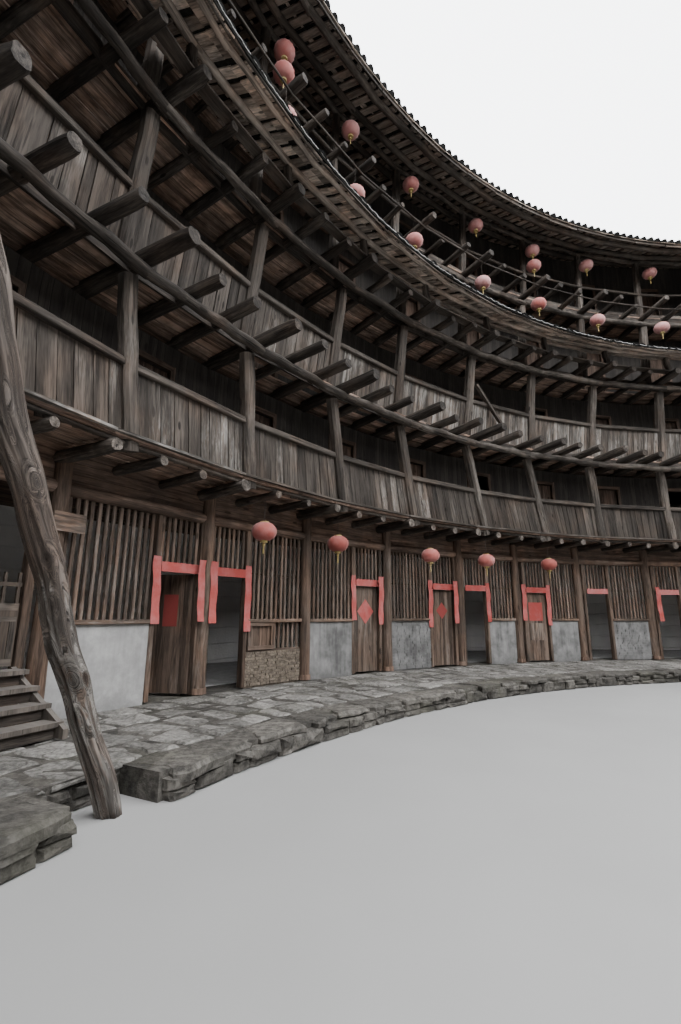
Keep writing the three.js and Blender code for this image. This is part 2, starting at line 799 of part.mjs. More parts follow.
function lantern(hangZ, middleZ) {
  const { string, tassel } = LANTERN;
  const profile = LANTERN.profile.map(([x, y]) =>
    new THREE.Vector2(x * LANTERN_R * LENGTH, y * LANTERN_HEIGHT * LENGTH));
  const body = new THREE.LatheGeometry(profile, LANTERN.sides);
  body.rotateX(Math.PI / 2);
  body.translate(0, 0, middleZ * LENGTH);
  const low = middleZ - LANTERN_HEIGHT / 2 - tassel.drop;
  return [
    body,
    block(string, string, hangZ - middleZ, 0, 0, (hangZ + middleZ) / 2),
    block(tassel.width, tassel.width, tassel.height, 0, 0, low),
  ];
}

function placed(geometries, radius, deg) {
  const p = at(radius, deg, 0);
  return geometries.map((g) => g.translate(p.x, p.y, 0));
}

const LANTERN_BAYS = [12, 13, 14, 15, 16, 17, 18];
const LANTERN_ROWS = [
  { name: "upper_lanterns", r: 16.45, pole: underRoof(16.4), drop: 0.8 },
  { name: "lower_lanterns", r: 16.05, pole: FLOORS["5f"].under, drop: 0.7 },
];
const POLE_HALF = 0.05;
const GROUND_LANTERNS = { degrees: [110.8, 118.5, 125.2, 135.2, 141.8], z: 3.04, out: 0.06 };

function lanterns() {
  for (const { name, r, pole, drop } of LANTERN_ROWS) {
    const section = rectangle(r - POLE_HALF, r + POLE_HALF, pole - 2 * POLE_HALF, pole);
    const pieces = [sweep(section, stationsOf(LANTERN_BAYS[0] - 1, LANTERN_BAYS.at(-1) + 1))];
    for (const k of LANTERN_BAYS) {
      pieces.push(...placed(lantern(pole - POLE_HALF, pole - drop), r, k * BAY));
    }
    addPiece(name, join(pieces), "red");
  }
  const hang = FLOORS["2f"].under - GAP;
  GROUND_LANTERNS.degrees.forEach((deg, i) => {
    const shapes = lantern(hang, GROUND_LANTERNS.z);
    const pieces = placed(shapes, FLOOR_EDGE_R + GROUND_LANTERNS.out, deg);
    addPiece("ground_lantern_" + (i + 1), join(pieces), "red");
  });
}

for (const arc of ARCS) {
  walkway(arc);
  floorRing("2f", arc);
  floorRing("3f", arc);
  floorRing("4f", arc);
  floorRing("5f", arc);
  gallery("3f", FLOORS["4f"].under, arc);
  gallery("4f", FLOORS["5f"].under, arc);
  gallery("5f", GALLERY_HEAD_Z, arc, underRoof);
  roomFront("2f", FLOORS["3f"].under, arc);
  roomFront("3f", FLOORS["4f"].under, arc);
  roomFront("4f", FLOORS["5f"].under, arc);
  roomFront("5f", ROOM_HEAD_Z, arc, underRoof);
  mainRoof(arc);
  skirtRoof(arc);
}
for (const arc of LOW_GALLERY_ARCS) gallery("2f", FLOORS["3f"].under, arc);
groundFront();
for (const part of WALL_PARTS) outerWall(part);
doorLeaf("door_1_leaf", 18, 62, "dark");
doorLeaf("door_3_leaf", 16, 0, "dark");
doorLeaf("door_4_leaf", 15, 0, "dark");
doorLeaf("door_6_leaf", 13, 0, "wood");
stair();
stairGate();
prop();
lanterns();

export default group;
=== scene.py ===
"""Dresses a tulou roundhouse: weathered galleries, tiled roofs, plastered fronts, earth wall.

Lengths below are the real building's metres and angles are degrees about the courtyard's
centre. SCALE turns them into the metres of the scale model.
"""

import math
import random
from collections import namedtuple

import bpy
import numpy as np
from bpy.props import FloatProperty, FloatVectorProperty, IntProperty, PointerProperty
from bpy.types import NodeSocket, Operator, Panel, PropertyGroup
from mathutils import Matrix


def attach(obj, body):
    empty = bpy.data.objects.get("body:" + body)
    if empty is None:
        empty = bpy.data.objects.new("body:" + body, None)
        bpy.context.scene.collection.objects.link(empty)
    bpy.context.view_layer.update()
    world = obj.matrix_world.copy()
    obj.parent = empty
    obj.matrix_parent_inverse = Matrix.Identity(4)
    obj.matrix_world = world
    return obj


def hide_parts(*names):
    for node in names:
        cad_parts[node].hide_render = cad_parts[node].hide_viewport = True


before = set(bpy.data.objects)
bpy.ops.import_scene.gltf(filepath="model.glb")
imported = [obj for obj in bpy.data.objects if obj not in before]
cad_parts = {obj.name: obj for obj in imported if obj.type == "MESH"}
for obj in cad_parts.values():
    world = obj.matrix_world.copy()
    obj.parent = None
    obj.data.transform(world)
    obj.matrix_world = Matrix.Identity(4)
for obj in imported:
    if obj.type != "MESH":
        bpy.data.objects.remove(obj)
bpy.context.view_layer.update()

bl_info = {
    "name": "Roundhouse Dresser",
    "version": (1, 0, 0),
    "blender": (4, 5, 0),
    "location": "3D View > Sidebar > Roundhouse",
    "description": "Dresses the roundhouse with timber, tile, plaster, stone and earth",
    "category": "Object",
}


def from_bay_8(*values):
    """A value for each photographed bay, from the first one on."""
    return dict(enumerate(values, 8))


SCALE = 0.5
BAYS = 45
BAY = 8.0
FRONT = range(8, 21)
REAR_START = 21 * BAY
REAR_COUNT = 32

KERB_R = 15.0
FLOOR_EDGE_R = 16.97
POST_FACE_R = 16.92
FRONT_R = 17.95
# Middle of the lattices and door frames
BAR_R = FRONT_R + 0.07
# Face of the low walls, middle of the sills
FACE_R = FRONT_R + 0.015
SILL_R = FRONT_R + 0.05
FRONT_DEPTH = 0.14
ROOM_END_R = 22.4
WALL_FOOT_R = 24.0
WALL_HEAD_R = 23.3
WALL_TOP = 14.2
WALK_Z = 0.28
# How near a flat side of the 45-sided ring comes to the centre, as a share of its radius
FACET = math.cos(math.radians(BAY / 2))

# Heights of a floor, then its logs: radius of the tips, their unevenness, size and height
Floor = namedtuple("Floor", "under top tip jitter log z")
FLOORS = {
    "2f": Floor(3.68, 3.9, 16.86, 0.05, 0.088, 3.72),
    "3f": Floor(6.2, 6.45, 15.86, 0.13, 0.1, 6.32),
    "4f": Floor(8.9, 9.13, 15.84, 0.1, 0.09, 9.01),
    "5f": Floor(11.41, 11.64, 15.95, 0.22, 0.08, 11.52),
}
LOGS_PER_BAY = 3
SEAM_SHIFT = 0.6

# How far a storey's posts lean inwards, and stand beside their bay line at foot and head
Gallery = namedtuple("Gallery", "lean foot head parapet top")
GALLERIES = {
    "2f": Gallery(0.24, -0.6, 0.9, 0.98, 6.2),
    "3f": Gallery(0.3, 0.2, -0.1, 1.04, 8.9),
    "4f": Gallery(0.16, 0.0, 0.0, 0.14, 11.41),
    "5f": Gallery(0.14, 0.0, 0.0, 0.14, 13.95),
}
# Where the photographed posts stand away from their bay line, in degrees
POST_SHIFT = {
    "2f": {12: (-0.3, 0.7), 13: (-0.1, 1.3), 14: (-1.2, 1.3), 15: (-1.6, 1.1),
           16: (-1.1, 1.3), 17: (-1.2, 0.7), 18: (-0.8, 0.5), 19: (-1.1, 0.4)},
    "3f": {12: (-0.4, -0.4), 14: (-0.1, -0.1), 16: (0.8, 0.7), 19: (0.3, 0.3)},
    "5f": {12: (-0.2, -0.2), 13: (-0.5, -0.5), 14: (-0.9, -0.9), 15: (-0.5, -0.5),
           16: (0.5, 0.5), 17: (0.2, 0.2)},
}
# How much browner (below 0) or paler a parapet is, from the first photographed bay on
BOARD_TONE = {
    "2f": from_bay_8(-2.3, -2.3, -2.2, -2.1, -2.0, -1.7, -1.3, -1.0, -0.9, -0.7, -0.3, -0.2),
    "3f": {11: 0.6, 12: 0.8, 13: 1.1, 14: 1.0, 15: 0.6, 18: -0.8, 19: -0.9},
}
# Posts and beams before this bay line are the paler ones
PALE_BAYS = 16

EAVE, RIDGE, OUTER_EAVE = (15.35, 13.45), (20.3, 15.9), (25.1, 13.5)
SKIRT_EAVE, SKIRT_TOP = (15.26, 9.49), (16.72, 10.19)
SKIRT_COLUMNS = 400
STUB_R = 16.03

DOOR_WIDTH = 0.8
DOOR_TOP = 2.3
SILL_Z = 1.5
LATTICE_TOP = 3.2
HEAD_Z = 3.28
JAMB = 0.085
BRICK_LENGTH = 0.27
DOOR_SPAN = math.degrees(DOOR_WIDTH / FRONT_R)
DOOR_STARTS = from_bay_8(69.4, 77.4, 85.4, 93.3, 101.3, 108.6, 115.9, 119.7, 128.1, 140.5, 143.9)
GROUND_POSTS = from_bay_8(64.3, 72.7, 80.7, 88.7, 96.7, 104.75, 112.2, 119.07, 127.25, 135.4,
                          143.45, 151.85, 160.0, 167.7)
ROD_BAYS = (12, 14, 15, 17)
# Degrees from and to, and the height of the stair's top
STAIR_OPENING = (152.75, 156.3, 0.95)
STAIR_RISERS, STAIR_TREAD = 4, 0.24
# Degrees from and to, and the radius that the kerb steps back to at the prop's foot
PROP_RECESS = (153.6, 156.8, 15.62)
LANTERN_SIZE = 0.225
GROUND_LANTERNS = (110.8, 118.5, 125.2, 135.2, 141.8)
UPPER_LANTERNS = (95.4, 103.75, 111.2, 119.2, 128.2, 136.0, 143.5)
LOWER_LANTERNS = (96.2, 104.5, 112.5, 120.3, 129.6, 137.0, 144.6)
PAIRED_LANTERNS = (111.2, 143.5)
GATE_DEG = 268.0
GATE_R = 23.2
GATE_HALF = math.degrees(1.0 / 23.0)
# Just before the ground posts, where the papers beside a post hang
POST_FRONT_R = 17.82


def length_value(name, description, default, least):
    return FloatProperty(name=name, description=description, default=default, min=least, unit="LENGTH")


def colour_value(name, description, *default):
    return FloatVectorProperty(name=name, description=description, default=default,
                               subtype="COLOR", min=0, max=1)


class RoundhouseSizes(PropertyGroup):
    """Sizes of the dressing, in real metres."""

    board_width: length_value("Board width", "Mean width of a parapet board", 0.21, 0.05)
    post_radius: length_value("Post radius", "Half width of a gallery post", 0.12, 0.03)
    beam_radius: length_value("Beam radius", "Radius of the round beams under the floors", 0.09, 0.03)
    tile_course: length_value("Tile course", "Length of a tile that shows", 0.4, 0.1)
    lattice_pitch: length_value("Lattice pitch", "Distance between lattice bars", 0.115, 0.05)
    tile_columns_inner: IntProperty(
        name="Inner tile columns", description="Columns of tiles on the courtyard slope",
        default=400, min=90)
    tile_columns_outer: IntProperty(
        name="Outer tile columns", description="Columns of tiles on the outer slope",
        default=500, min=90)
    seed: IntProperty(name="Seed", description="Seed of every uneven piece", default=7)


class RoundhouseColours(PropertyGroup):
    """Colours of the finishes."""

    timber: colour_value("Timber", "Weathered posts and logs", 0.068, 0.057, 0.048)
    timber_dark: colour_value("Dark timber", "Smoked boards in the shade", 0.03, 0.023, 0.018)
    timber_silver: colour_value("Silvered timber", "Bleached faces of old boards", 0.175, 0.163, 0.148)
    plaster: colour_value("Lime plaster", "Low walls of the ground floor", 0.46, 0.452, 0.44)
    earth: colour_value("Rammed earth", "Outer wall", 0.135, 0.1, 0.063)
    stone: colour_value("Stone", "Kerb, paving and footing", 0.15, 0.143, 0.131)
    tile: colour_value("Roof tile", "Fired clay tile", 0.016, 0.0155, 0.015)
    paper: colour_value("Red paper", "Plain strips on the door frames", 0.4, 0.05, 0.04)
    lantern: colour_value("Lantern cloth", "Faded lantern cloth", 0.38, 0.08, 0.062)
    gold: colour_value("Gold thread", "Ends and tassels of the lanterns", 0.36, 0.26, 0.075)


def sizes():
    return bpy.context.scene.roundhouse_sizes


def colours():
    return bpy.context.scene.roundhouse_colours


# Geometry helpers


def polar(radius, degrees, height):
    a = math.radians(degrees)
    return np.array((radius * math.cos(a), radius * math.sin(a), height))


def angle_of(length, radius):
    return math.degrees(length / radius)


def unit(vector):
    return vector / max(np.linalg.norm(vector), 1e-9)


def uneven(index, salt):
    """The same repeatable value as the solids use for their logs."""
    s = math.sin(index * 12.9898 + salt * 78.233) * 43758.5453
    return 2 * (s - math.floor(s)) - 1


def circle(radius, sides):
    turn = 2 * math.pi / sides
    return [(radius * math.cos((i + 0.5) * turn), radius * math.sin((i + 0.5) * turn))
            for i in range(sides)]


def rect(width, depth):
    x, y = width / 2, depth / 2
    return [(-x, -y), (x, -y), (x, y), (-x, y)]


def eased(width, depth, edge):
    """A rectangle with its four edges planed off."""
    x, y = width / 2, depth / 2
    return [(-x + edge, -y), (x - edge, -y), (x, -y + edge), (x, y - edge),
            (x - edge, y), (-x + edge, y), (-x, y - edge), (-x, -y + edge)]


def whole_ring(step):
    return [i * step for i in range(round(360 / step))]


def fan(sides):
    """The triangles that close a ring of corners."""
    j = np.arange(1, sides - 1)
    return np.column_stack((j * 0, j, j + 1))


def tube(rings, sides):
    """The quads around a tube, from its first section on."""
    j = np.arange(sides)
    k = (j + 1) % sides
    return np.concatenate([np.column_stack((j, k, k + sides, j + sides)) + i * sides for i in range(rings)])


class Mesher:
    """Collects shapes in real metres, with a grain coordinate and a tone at each corner.

    Its salt, added to the user's seed, gives it its own row of random draws.
    """

    def __init__(self, salt):
        self.random = random.Random(sizes().seed + salt)
        self.draw = self.random.uniform
        self.points, self.grain, self.tone, self.faces = [], [], [], []
        self.count = 0

    def add(self, points, faces, grain, tone, finish=0, smooth=False):
        """Takes arrays of triangles or quads, which number the points from 0."""
        self.faces += [(corners + self.count, finish, smooth) for corners in faces]
        self.points.append(np.asarray(points, float))
        self.grain.append(np.asarray(grain, float))
        self.tone.append(np.full(len(points), tone))
        self.count += len(points)

    def any_tone(self):
        return self.draw(-1, 1)

    def prism(self, start, end, outline, up=(0, 0, 1), rings=1, sway=0.0, taper=1.0,
              swell=0.0, tone=None, finish=0, smooth=False, stations=None, end_tone=-0.15):
        """A straight or slightly crooked bar from start to end.

        stations holds the share of the length and the scale of each section, where they
        are not evenly spaced.
        """
        start, end, outline = (np.asarray(v, float) for v in (start, end, outline))
        axis = unit(end - start)
        side = np.cross(up, axis)
        if np.linalg.norm(side) < 1e-3:
            side = np.cross((1.0, 0.0, 0.0), axis)
        side = unit(side)
        top = np.cross(axis, side)
        length = np.linalg.norm(end - start)
        n = len(outline)
        j = self.draw
        shift = (j(0, 40), j(-0.2, 0.2), j(0.03, 0.3))
        points, grain = [], []
        if stations is None:
            stations = [(i / rings, 1 + (taper - 1) * i / rings) for i in range(rings + 1)]
        rings = len(stations) - 1
        for i, (u, grow) in enumerate(stations):
            inner = 0 < i < rings
            grow += j(-swell, swell) if inner else 0
            bend = (j(-sway, sway), j(-sway, sway)) if inner else (0, 0)
            section = outline * grow + bend
            points.append(start + axis * length * u + section[:, :1] * side + section[:, 1:] * top)
            grain.append(np.column_stack((
                np.full(n, length * u + shift[0]), section[:, 0] + shift[1] * (n < 9),
                section[:, 1] + shift[2] * (n < 9))))
        tone = self.any_tone() if tone is None else tone
        self.add(np.concatenate(points), [tube(rings, n)], np.concatenate(grain), tone, finish, smooth)
        self.add(points[-1], [fan(n)], grain[-1], tone + end_tone, finish)
        self.add(points[0], [fan(n)[:, ::-1]], grain[0], tone + end_tone, finish)

    def along(self, radius, a0, a1, height, outline, **shape):
        """A level bar along the ring, between two angles."""
        self.prism(polar(radius, a0, height), polar(radius, a1, height), outline, **shape)

    def upright(self, radius, degrees, low, high, outline, **shape):
        """An upright bar, its width along the ring."""
        self.prism(polar(radius, degrees, low), polar(radius, degrees, high), outline,
                   up=polar(1, degrees, 0), **shape)

    def sweep(self, section, degrees, tone=None, finish=0, closed=False, smooth=False):
        """A section in (radius, height), anticlockwise, swept around the courtyard."""
        section = np.asarray(section, float)
        n, m = len(section), len(degrees)
        angles = np.radians(degrees)[:, None]
        points = np.empty((m, n, 3))
        points[:, :, 0] = np.cos(angles) * section[:, 0]
        points[:, :, 1] = np.sin(angles) * section[:, 0]
        points[:, :, 2] = section[:, 1]
        grain = np.empty((m, n, 3))
        grain[:, :, 0] = angles * section[:, 0].mean() + self.draw(0, 40)
        grain[:, :, 1:] = section + (0.13, 0.07)
        a = np.arange(n)
        b = (a + 1) % n
        quads = [np.column_stack((i * n + a, (i + 1) % m * n + a, (i + 1) % m * n + b, i * n + b))
                 for i in range(m if closed else m - 1)]
        tone = self.any_tone() if tone is None else tone
        self.add(points.reshape(-1, 3), [np.concatenate(quads)], grain.reshape(-1, 3), tone, finish, smooth)
        if not closed:
            self.add(points[0], [fan(n)], grain[0], tone, finish)
            self.add(points[-1], [fan(n)[:, ::-1]], grain[-1], tone, finish)

    def block(self, r0, r1, a0, a1, z0, z1, tone=None, finish=0, steps=1, closed=False):
        """A piece of wall or slab between two radii, two angles and two heights."""
        degrees = whole_ring(a1) if closed else np.linspace(a0, a1, steps + 1)
        self.sweep([(r0, z0), (r1, z0), (r1, z1), (r0, z1)], degrees, tone, finish, closed)

    def build(self, name, finishes):
        """A plain mesh object that holds the model's metres."""
        mesh = bpy.data.meshes.new(name)
        faces = sorted(self.faces, key=lambda face: -face[0].shape[1])
        each = [len(face[0]) for face in faces]
        sides = np.repeat([face[0].shape[1] for face in faces], each)
        loops = np.concatenate([face[0].ravel() for face in faces])
        mesh.vertices.add(self.count)
        mesh.loops.add(len(loops))
        mesh.polygons.add(len(sides))
        mesh.vertices.foreach_set("co", np.concatenate(self.points).ravel() * SCALE)
        mesh.loops.foreach_set("vertex_index", loops.astype(np.int32))
        for field, values in (("loop_start", np.cumsum(sides) - sides),
                              ("material_index", np.repeat([face[1] for face in faces], each))):
            mesh.polygons.foreach_set(field, values.astype(np.int32))
        mesh.polygons.foreach_set("use_smooth", np.repeat([face[2] for face in faces], each))
        mesh.update(calc_edges=True)
        for label, kind, field, rows in (("grain", "FLOAT_VECTOR", "vector", self.grain),
                                         ("tone", "FLOAT", "value", self.tone)):
            values = np.concatenate(rows).astype(np.float32).ravel()
            mesh.attributes.new(label, kind, "POINT").data.foreach_set(field, values)
        for label in finishes:
            mesh.materials.append(finish(label))
        made = bpy.data.objects.new(name, mesh)
        bpy.context.scene.collection.objects.link(made)
        return made

    def piece(self, name, slot, *finishes, body="building", replaces=()):
        """Builds what it holds, as a finished piece."""
        return dress(self.build(name, finishes), body, replaces)

    def around(self, name, slot, label, count=BAYS, start=0.0, step=BAY, slide=(0, 0, 0),
               swing=0.0, replaces=()):
        """Repeats what it holds, drawn near angle 0, around the courtyard."""
        module = grown(self.build(name, [label]), ring_array_tree(), {
            "Count": count, "Start": math.radians(start), "Step": math.radians(step),
            "Slide": tuple(v * SCALE for v in slide), "Swing": math.radians(swing),
            "Seed": sizes().seed, "Material": finish(label)})
        return dress(module, "building", replaces)


def dress(made, body, replaces):
    """Seats a finished piece on its body and hides the parts it replaces."""
    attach(made, body)
    if replaces:
        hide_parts(*replaces)
    return made


def both_arcs(*stems):
    return [f"{stem}_{arc}" for stem in stems for arc in ("front", "rear")]


# Node trees


class Graph:
    """Short words for building a tree of nodes."""

    def __init__(self, tree):
        self.tree = tree

    def node(self, kind, inputs=(), **settings):
        made = self.tree.nodes.new(kind)
        for key, value in settings.items():
            setattr(made, key, value)
        for key, value in dict(inputs).items():
            self.feed(made.inputs[key], value)
        return made

    def feed(self, socket, value):
        if isinstance(value, NodeSocket):
            self.tree.links.new(value, socket)
        else:
            socket.default_value = value

    def maths(self, operation, a, b=0.0, c=0.0, clamp=False):
        return self.node("ShaderNodeMath", {0: a, 1: b, 2: c}, operation=operation,
                         use_clamp=clamp).outputs[0]

    def times(self, a, b, clamp=False):
        return self.maths("MULTIPLY", a, b, clamp=clamp)

    def fused(self, a, b, c, clamp=False):
        return self.maths("MULTIPLY_ADD", a, b, c, clamp)

    def less(self, a, b, clamp=False):
        return self.maths("SUBTRACT", a, b, clamp=clamp)

    def vector(self, operation, a, b):
        return self.node("ShaderNodeVectorMath", {0: a, 1: b}, operation=operation).outputs[0]

    def stretched(self, vector, *factors):
        return self.vector("MULTIPLY", vector, factors)

    def scaled(self, colour, factor):
        return self.node("ShaderNodeVectorMath", {0: colour, "Scale": factor}, operation="SCALE").outputs[0]

    def parts(self, vector):
        return self.node("ShaderNodeSeparateXYZ", {0: vector}).outputs

    def joined(self, *parts):
        return self.node("ShaderNodeCombineXYZ", dict(enumerate(parts))).outputs[0]

    def noise(self, vector, scale, detail=4.0, roughness=0.6, output="Fac"):
        return self.node("ShaderNodeTexNoise", {
            "Vector": vector, "Scale": scale, "Detail": detail,
            "Roughness": roughness}).outputs[output]

    def chance(self, number):
        return self.node("ShaderNodeTexWhiteNoise", {"W": number}, noise_dimensions="1D").outputs[0]

    def band(self, value, low, high, to_low=0.0, to_high=1.0):
        return self.node("ShaderNodeMapRange", {
            "Value": value, "From Min": low, "From Max": high,
            "To Min": to_low, "To Max": to_high}, interpolation_type="SMOOTHSTEP").outputs[0]

    def mix(self, share, a, b, mode="MIX"):
        made = self.node("ShaderNodeMix", {0: share}, data_type="RGBA", blend_type=mode, clamp_result=False)
        for number, value in ((6, a), (7, b)):
            if not isinstance(value, NodeSocket):
                value = (*value[:3], 1.0)
            self.feed(made.inputs[number], value)
        return made.outputs[2]

    def attribute(self, name, output="Fac"):
        return self.node("ShaderNodeAttribute", attribute_name=name).outputs[output]

    def filled(self, group, **inputs):
        return self.node("ShaderNodeGroup", inputs, node_tree=group).outputs


def node_group(name, kind, inputs, outputs):
    """An empty tree with its named inputs (label, kind, default) and outputs."""
    tree = bpy.data.node_groups.new(name, kind)
    for label, socket, *default in inputs:
        made = tree.interface.new_socket(label, in_out="INPUT", socket_type="NodeSocket" + socket)
        if default:
            made.default_value = default[0]
    for label, socket in outputs:
        tree.interface.new_socket(label, in_out="OUTPUT", socket_type="NodeSocket" + socket)
    g = Graph(tree)
    return g, g.node("NodeGroupInput").outputs, g.node("NodeGroupOutput").inputs


def known_group(build):
    """Lets a builder make its tree, named by the builder, once in a file."""
    def found():
        name = build.__name__.replace("_", " ").capitalize()
        return bpy.data.node_groups.get(name) or build(name)
    return found


@known_group
def ring_array_tree(name):
    """Repeats a module around the courtyard, each copy with its own tone and a small shake."""
    g, given, result = node_group(name, "GeometryNodeTree", [
        ("Geometry", "Geometry"), ("Count", "Int", BAYS), ("Start", "Float", 0.0),
        ("Step", "Float", math.radians(BAY)), ("Slide", "Vector", (0.0, 0.0, 0.0)),
        ("Swing", "Float", 0.0), ("Seed", "Int", 1), ("Material", "Material")],
        [("Geometry", "Geometry")])

    def shaken(output, low, **settings):
        return g.node("FunctionNodeRandomValue", {**low, "Seed": given["Seed"]}, **settings).outputs[output]

    index = g.node("GeometryNodeInputIndex").outputs[0]
    turn = g.fused(index, given["Step"], given["Start"])
    turn = g.fused(shaken(1, {2: -1.0}), given["Swing"], turn)
    slide = shaken(0, {0: (-1.0, -1.0, -1.0)}, data_type="FLOAT_VECTOR")
    made = g.node("GeometryNodePoints", {"Count": given["Count"]}).outputs[0]
    for kind, socket, inputs, settings in (
            ("InstanceOnPoints", "Points",
             {"Instance": given["Geometry"], "Rotation": g.joined(0.0, 0.0, turn)}, {}),
            ("TranslateInstances", "Instances",
             {"Translation": g.vector("MULTIPLY", slide, given["Slide"])}, {}),
            ("StoreNamedAttribute", "Geometry",
             {"Name": "turn", "Value": shaken(1, {2: -1.0})}, {"domain": "INSTANCE"}),
            ("RealizeInstances", "Geometry", {}, {}),
            ("SetMaterial", "Geometry", {"Material": given["Material"]}, {})):
        made = g.node("GeometryNode" + kind, {socket: made, **inputs}, **settings).outputs[0]
    g.feed(result[0], made)
    return g.tree


def grown(module, tree, values):
    """Runs a tree on a module and returns the result as a plain mesh object."""
    modifier = module.modifiers.new(tree.name, "NODES")
    modifier.node_group = tree
    for item in tree.interface.items_tree:
        if item.item_type == "SOCKET" and item.in_out == "INPUT" and item.name in values:
            modifier[item.identifier] = values[item.name]
    depsgraph = bpy.context.evaluated_depsgraph_get()
    mesh = bpy.data.meshes.new_from_object(
        module.evaluated_get(depsgraph), preserve_all_data_layers=True, depsgraph=depsgraph)
    mesh.name = module.name
    old = module.data
    module.modifiers.remove(modifier)
    module.data = mesh
    bpy.data.meshes.remove(old)
    return module


# Shader node groups


@known_group
def timber_figure(name):
    """Fibres, checks and knots of a bar whose grain runs along its own X."""
    g, given, result = node_group(
        name, "ShaderNodeTree", [("Grain", "Vector"), ("Tone", "Float"), ("Checks", "Float")],
        [("Figure", "Float"), ("Check", "Float"), ("Height", "Float")])
    tone = given["Tone"]
    shift = g.joined(g.times(tone, 17.0), g.times(tone, 0.21), g.times(tone, 0.13))
    grain = g.vector("ADD", given["Grain"], shift)
    fibre = g.noise(g.stretched(grain, 1.3, 17.0, 17.0), 1.0, 3.0, 0.85)
    broad = g.noise(g.stretched(grain, 0.5, 5.0, 5.0), 1.0, 1.0, 0.5)
    check = g.noise(g.stretched(grain, 0.9, 22.0, 22.0), 1.0, 1.0, 0.5)
    check = g.times(g.band(check, 0.36, 0.27), given["Checks"], clamp=True)
    knot = g.node("ShaderNodeTexVoronoi", {
        "Vector": g.stretched(grain, 1.6, 5.0, 5.0), "Scale": 1.0}).outputs["Distance"]
    figure = g.fused(fibre, 0.55, g.times(broad, 0.4))
    figure = g.less(figure, g.times(g.band(knot, 0.15, 0.05), 0.25), clamp=True)
    g.feed(result["Figure"], figure)
    g.feed(result["Check"], check)
    g.feed(result["Height"], g.less(fibre, g.times(check, 0.7)))
    return g.tree


@known_group
def weather_stains(name):
    """Large stains and vertical run marks, from object coordinates."""
    g, given, result = node_group(
        name, "ShaderNodeTree", [("Place", "Vector"), ("Scale", "Float")],
        [("Stain", "Float"), ("Run", "Float")])
    place = g.scaled(given["Place"], given["Scale"])
    stain = g.noise(place, 1.0, 3.0, 0.62)
    run = g.noise(g.stretched(place, 5.0, 5.0, 0.45), 1.0, 2.0, 0.6)
    g.feed(result["Stain"], g.band(stain, 0.35, 0.68))
    g.feed(result["Run"], g.band(run, 0.4, 0.7))
    return g.tree


@known_group
def stone_joints(name):
    """Irregular stones: a mask of the dirt between them, and a value for each stone."""
    g, given, result = node_group(
        name, "ShaderNodeTree", [("Place", "Vector"), ("Scale", "Float")],
        [("Joint", "Float"), ("Stone", "Float")])
    wave = g.noise(given["Place"], 6.0, 2.0, 0.5, "Color")
    bent = g.vector("ADD", given["Place"], g.stretched(wave, 0.16, 0.16, 0.16))
    edges, cells = (g.node("ShaderNodeTexVoronoi", {"Vector": bent, "Scale": given["Scale"]},
                           feature=feature).outputs for feature in ("DISTANCE_TO_EDGE", "F1"))
    edge = g.fused(g.noise(given["Place"], 45.0, 1.0), 0.07, edges["Distance"])
    g.feed(result["Joint"], g.band(edge, 0.085, 0.04))
    g.feed(result["Stone"], g.parts(cells["Color"])[0])
    return g.tree


# Finishes


class Finish(Graph):
    """A material's tree, with its shader and the place on the object."""

    def __init__(self, name):
        self.material = bpy.data.materials.new(name)
        self.material.use_nodes = True
        super().__init__(self.material.node_tree)
        self.tree.nodes.clear()
        self.shader = self.node("ShaderNodeBsdfPrincipled").inputs
        self.node("ShaderNodeOutputMaterial", {0: self.tree.nodes[0].outputs[0]})
        self.place = self.node("ShaderNodeTexCoord").outputs["Object"]

    def stained(self, scale):
        return self.filled(weather_stains(), Place=self.place, Scale=scale)

    def figured(self, grain, tone, checks):
        return self.filled(timber_figure(), Grain=grain, Tone=tone, Checks=checks)

    def own_tone(self):
        return self.fused(self.attribute("turn"), 0.45, self.attribute("tone"))

    def close(self, colour, rough, gloss, height=None, strength=0.0, distance=0.0):
        """Feeds the shader its colour, roughness, gloss and bump."""
        for name, value in (("Base Color", colour), ("Roughness", rough), ("Specular IOR Level", gloss)):
            self.feed(self.shader[name], value)
        if height:
            self.feed(self.shader["Normal"], self.node("ShaderNodeBump", {
                "Height": height, "Strength": strength, "Distance": distance}).outputs[0])


def shade(colour, factor):
    return tuple(min(1.0, c * factor) for c in colour)


def tinted(colour, tint):
    return [v * t for v, t in zip(colour, tint)]


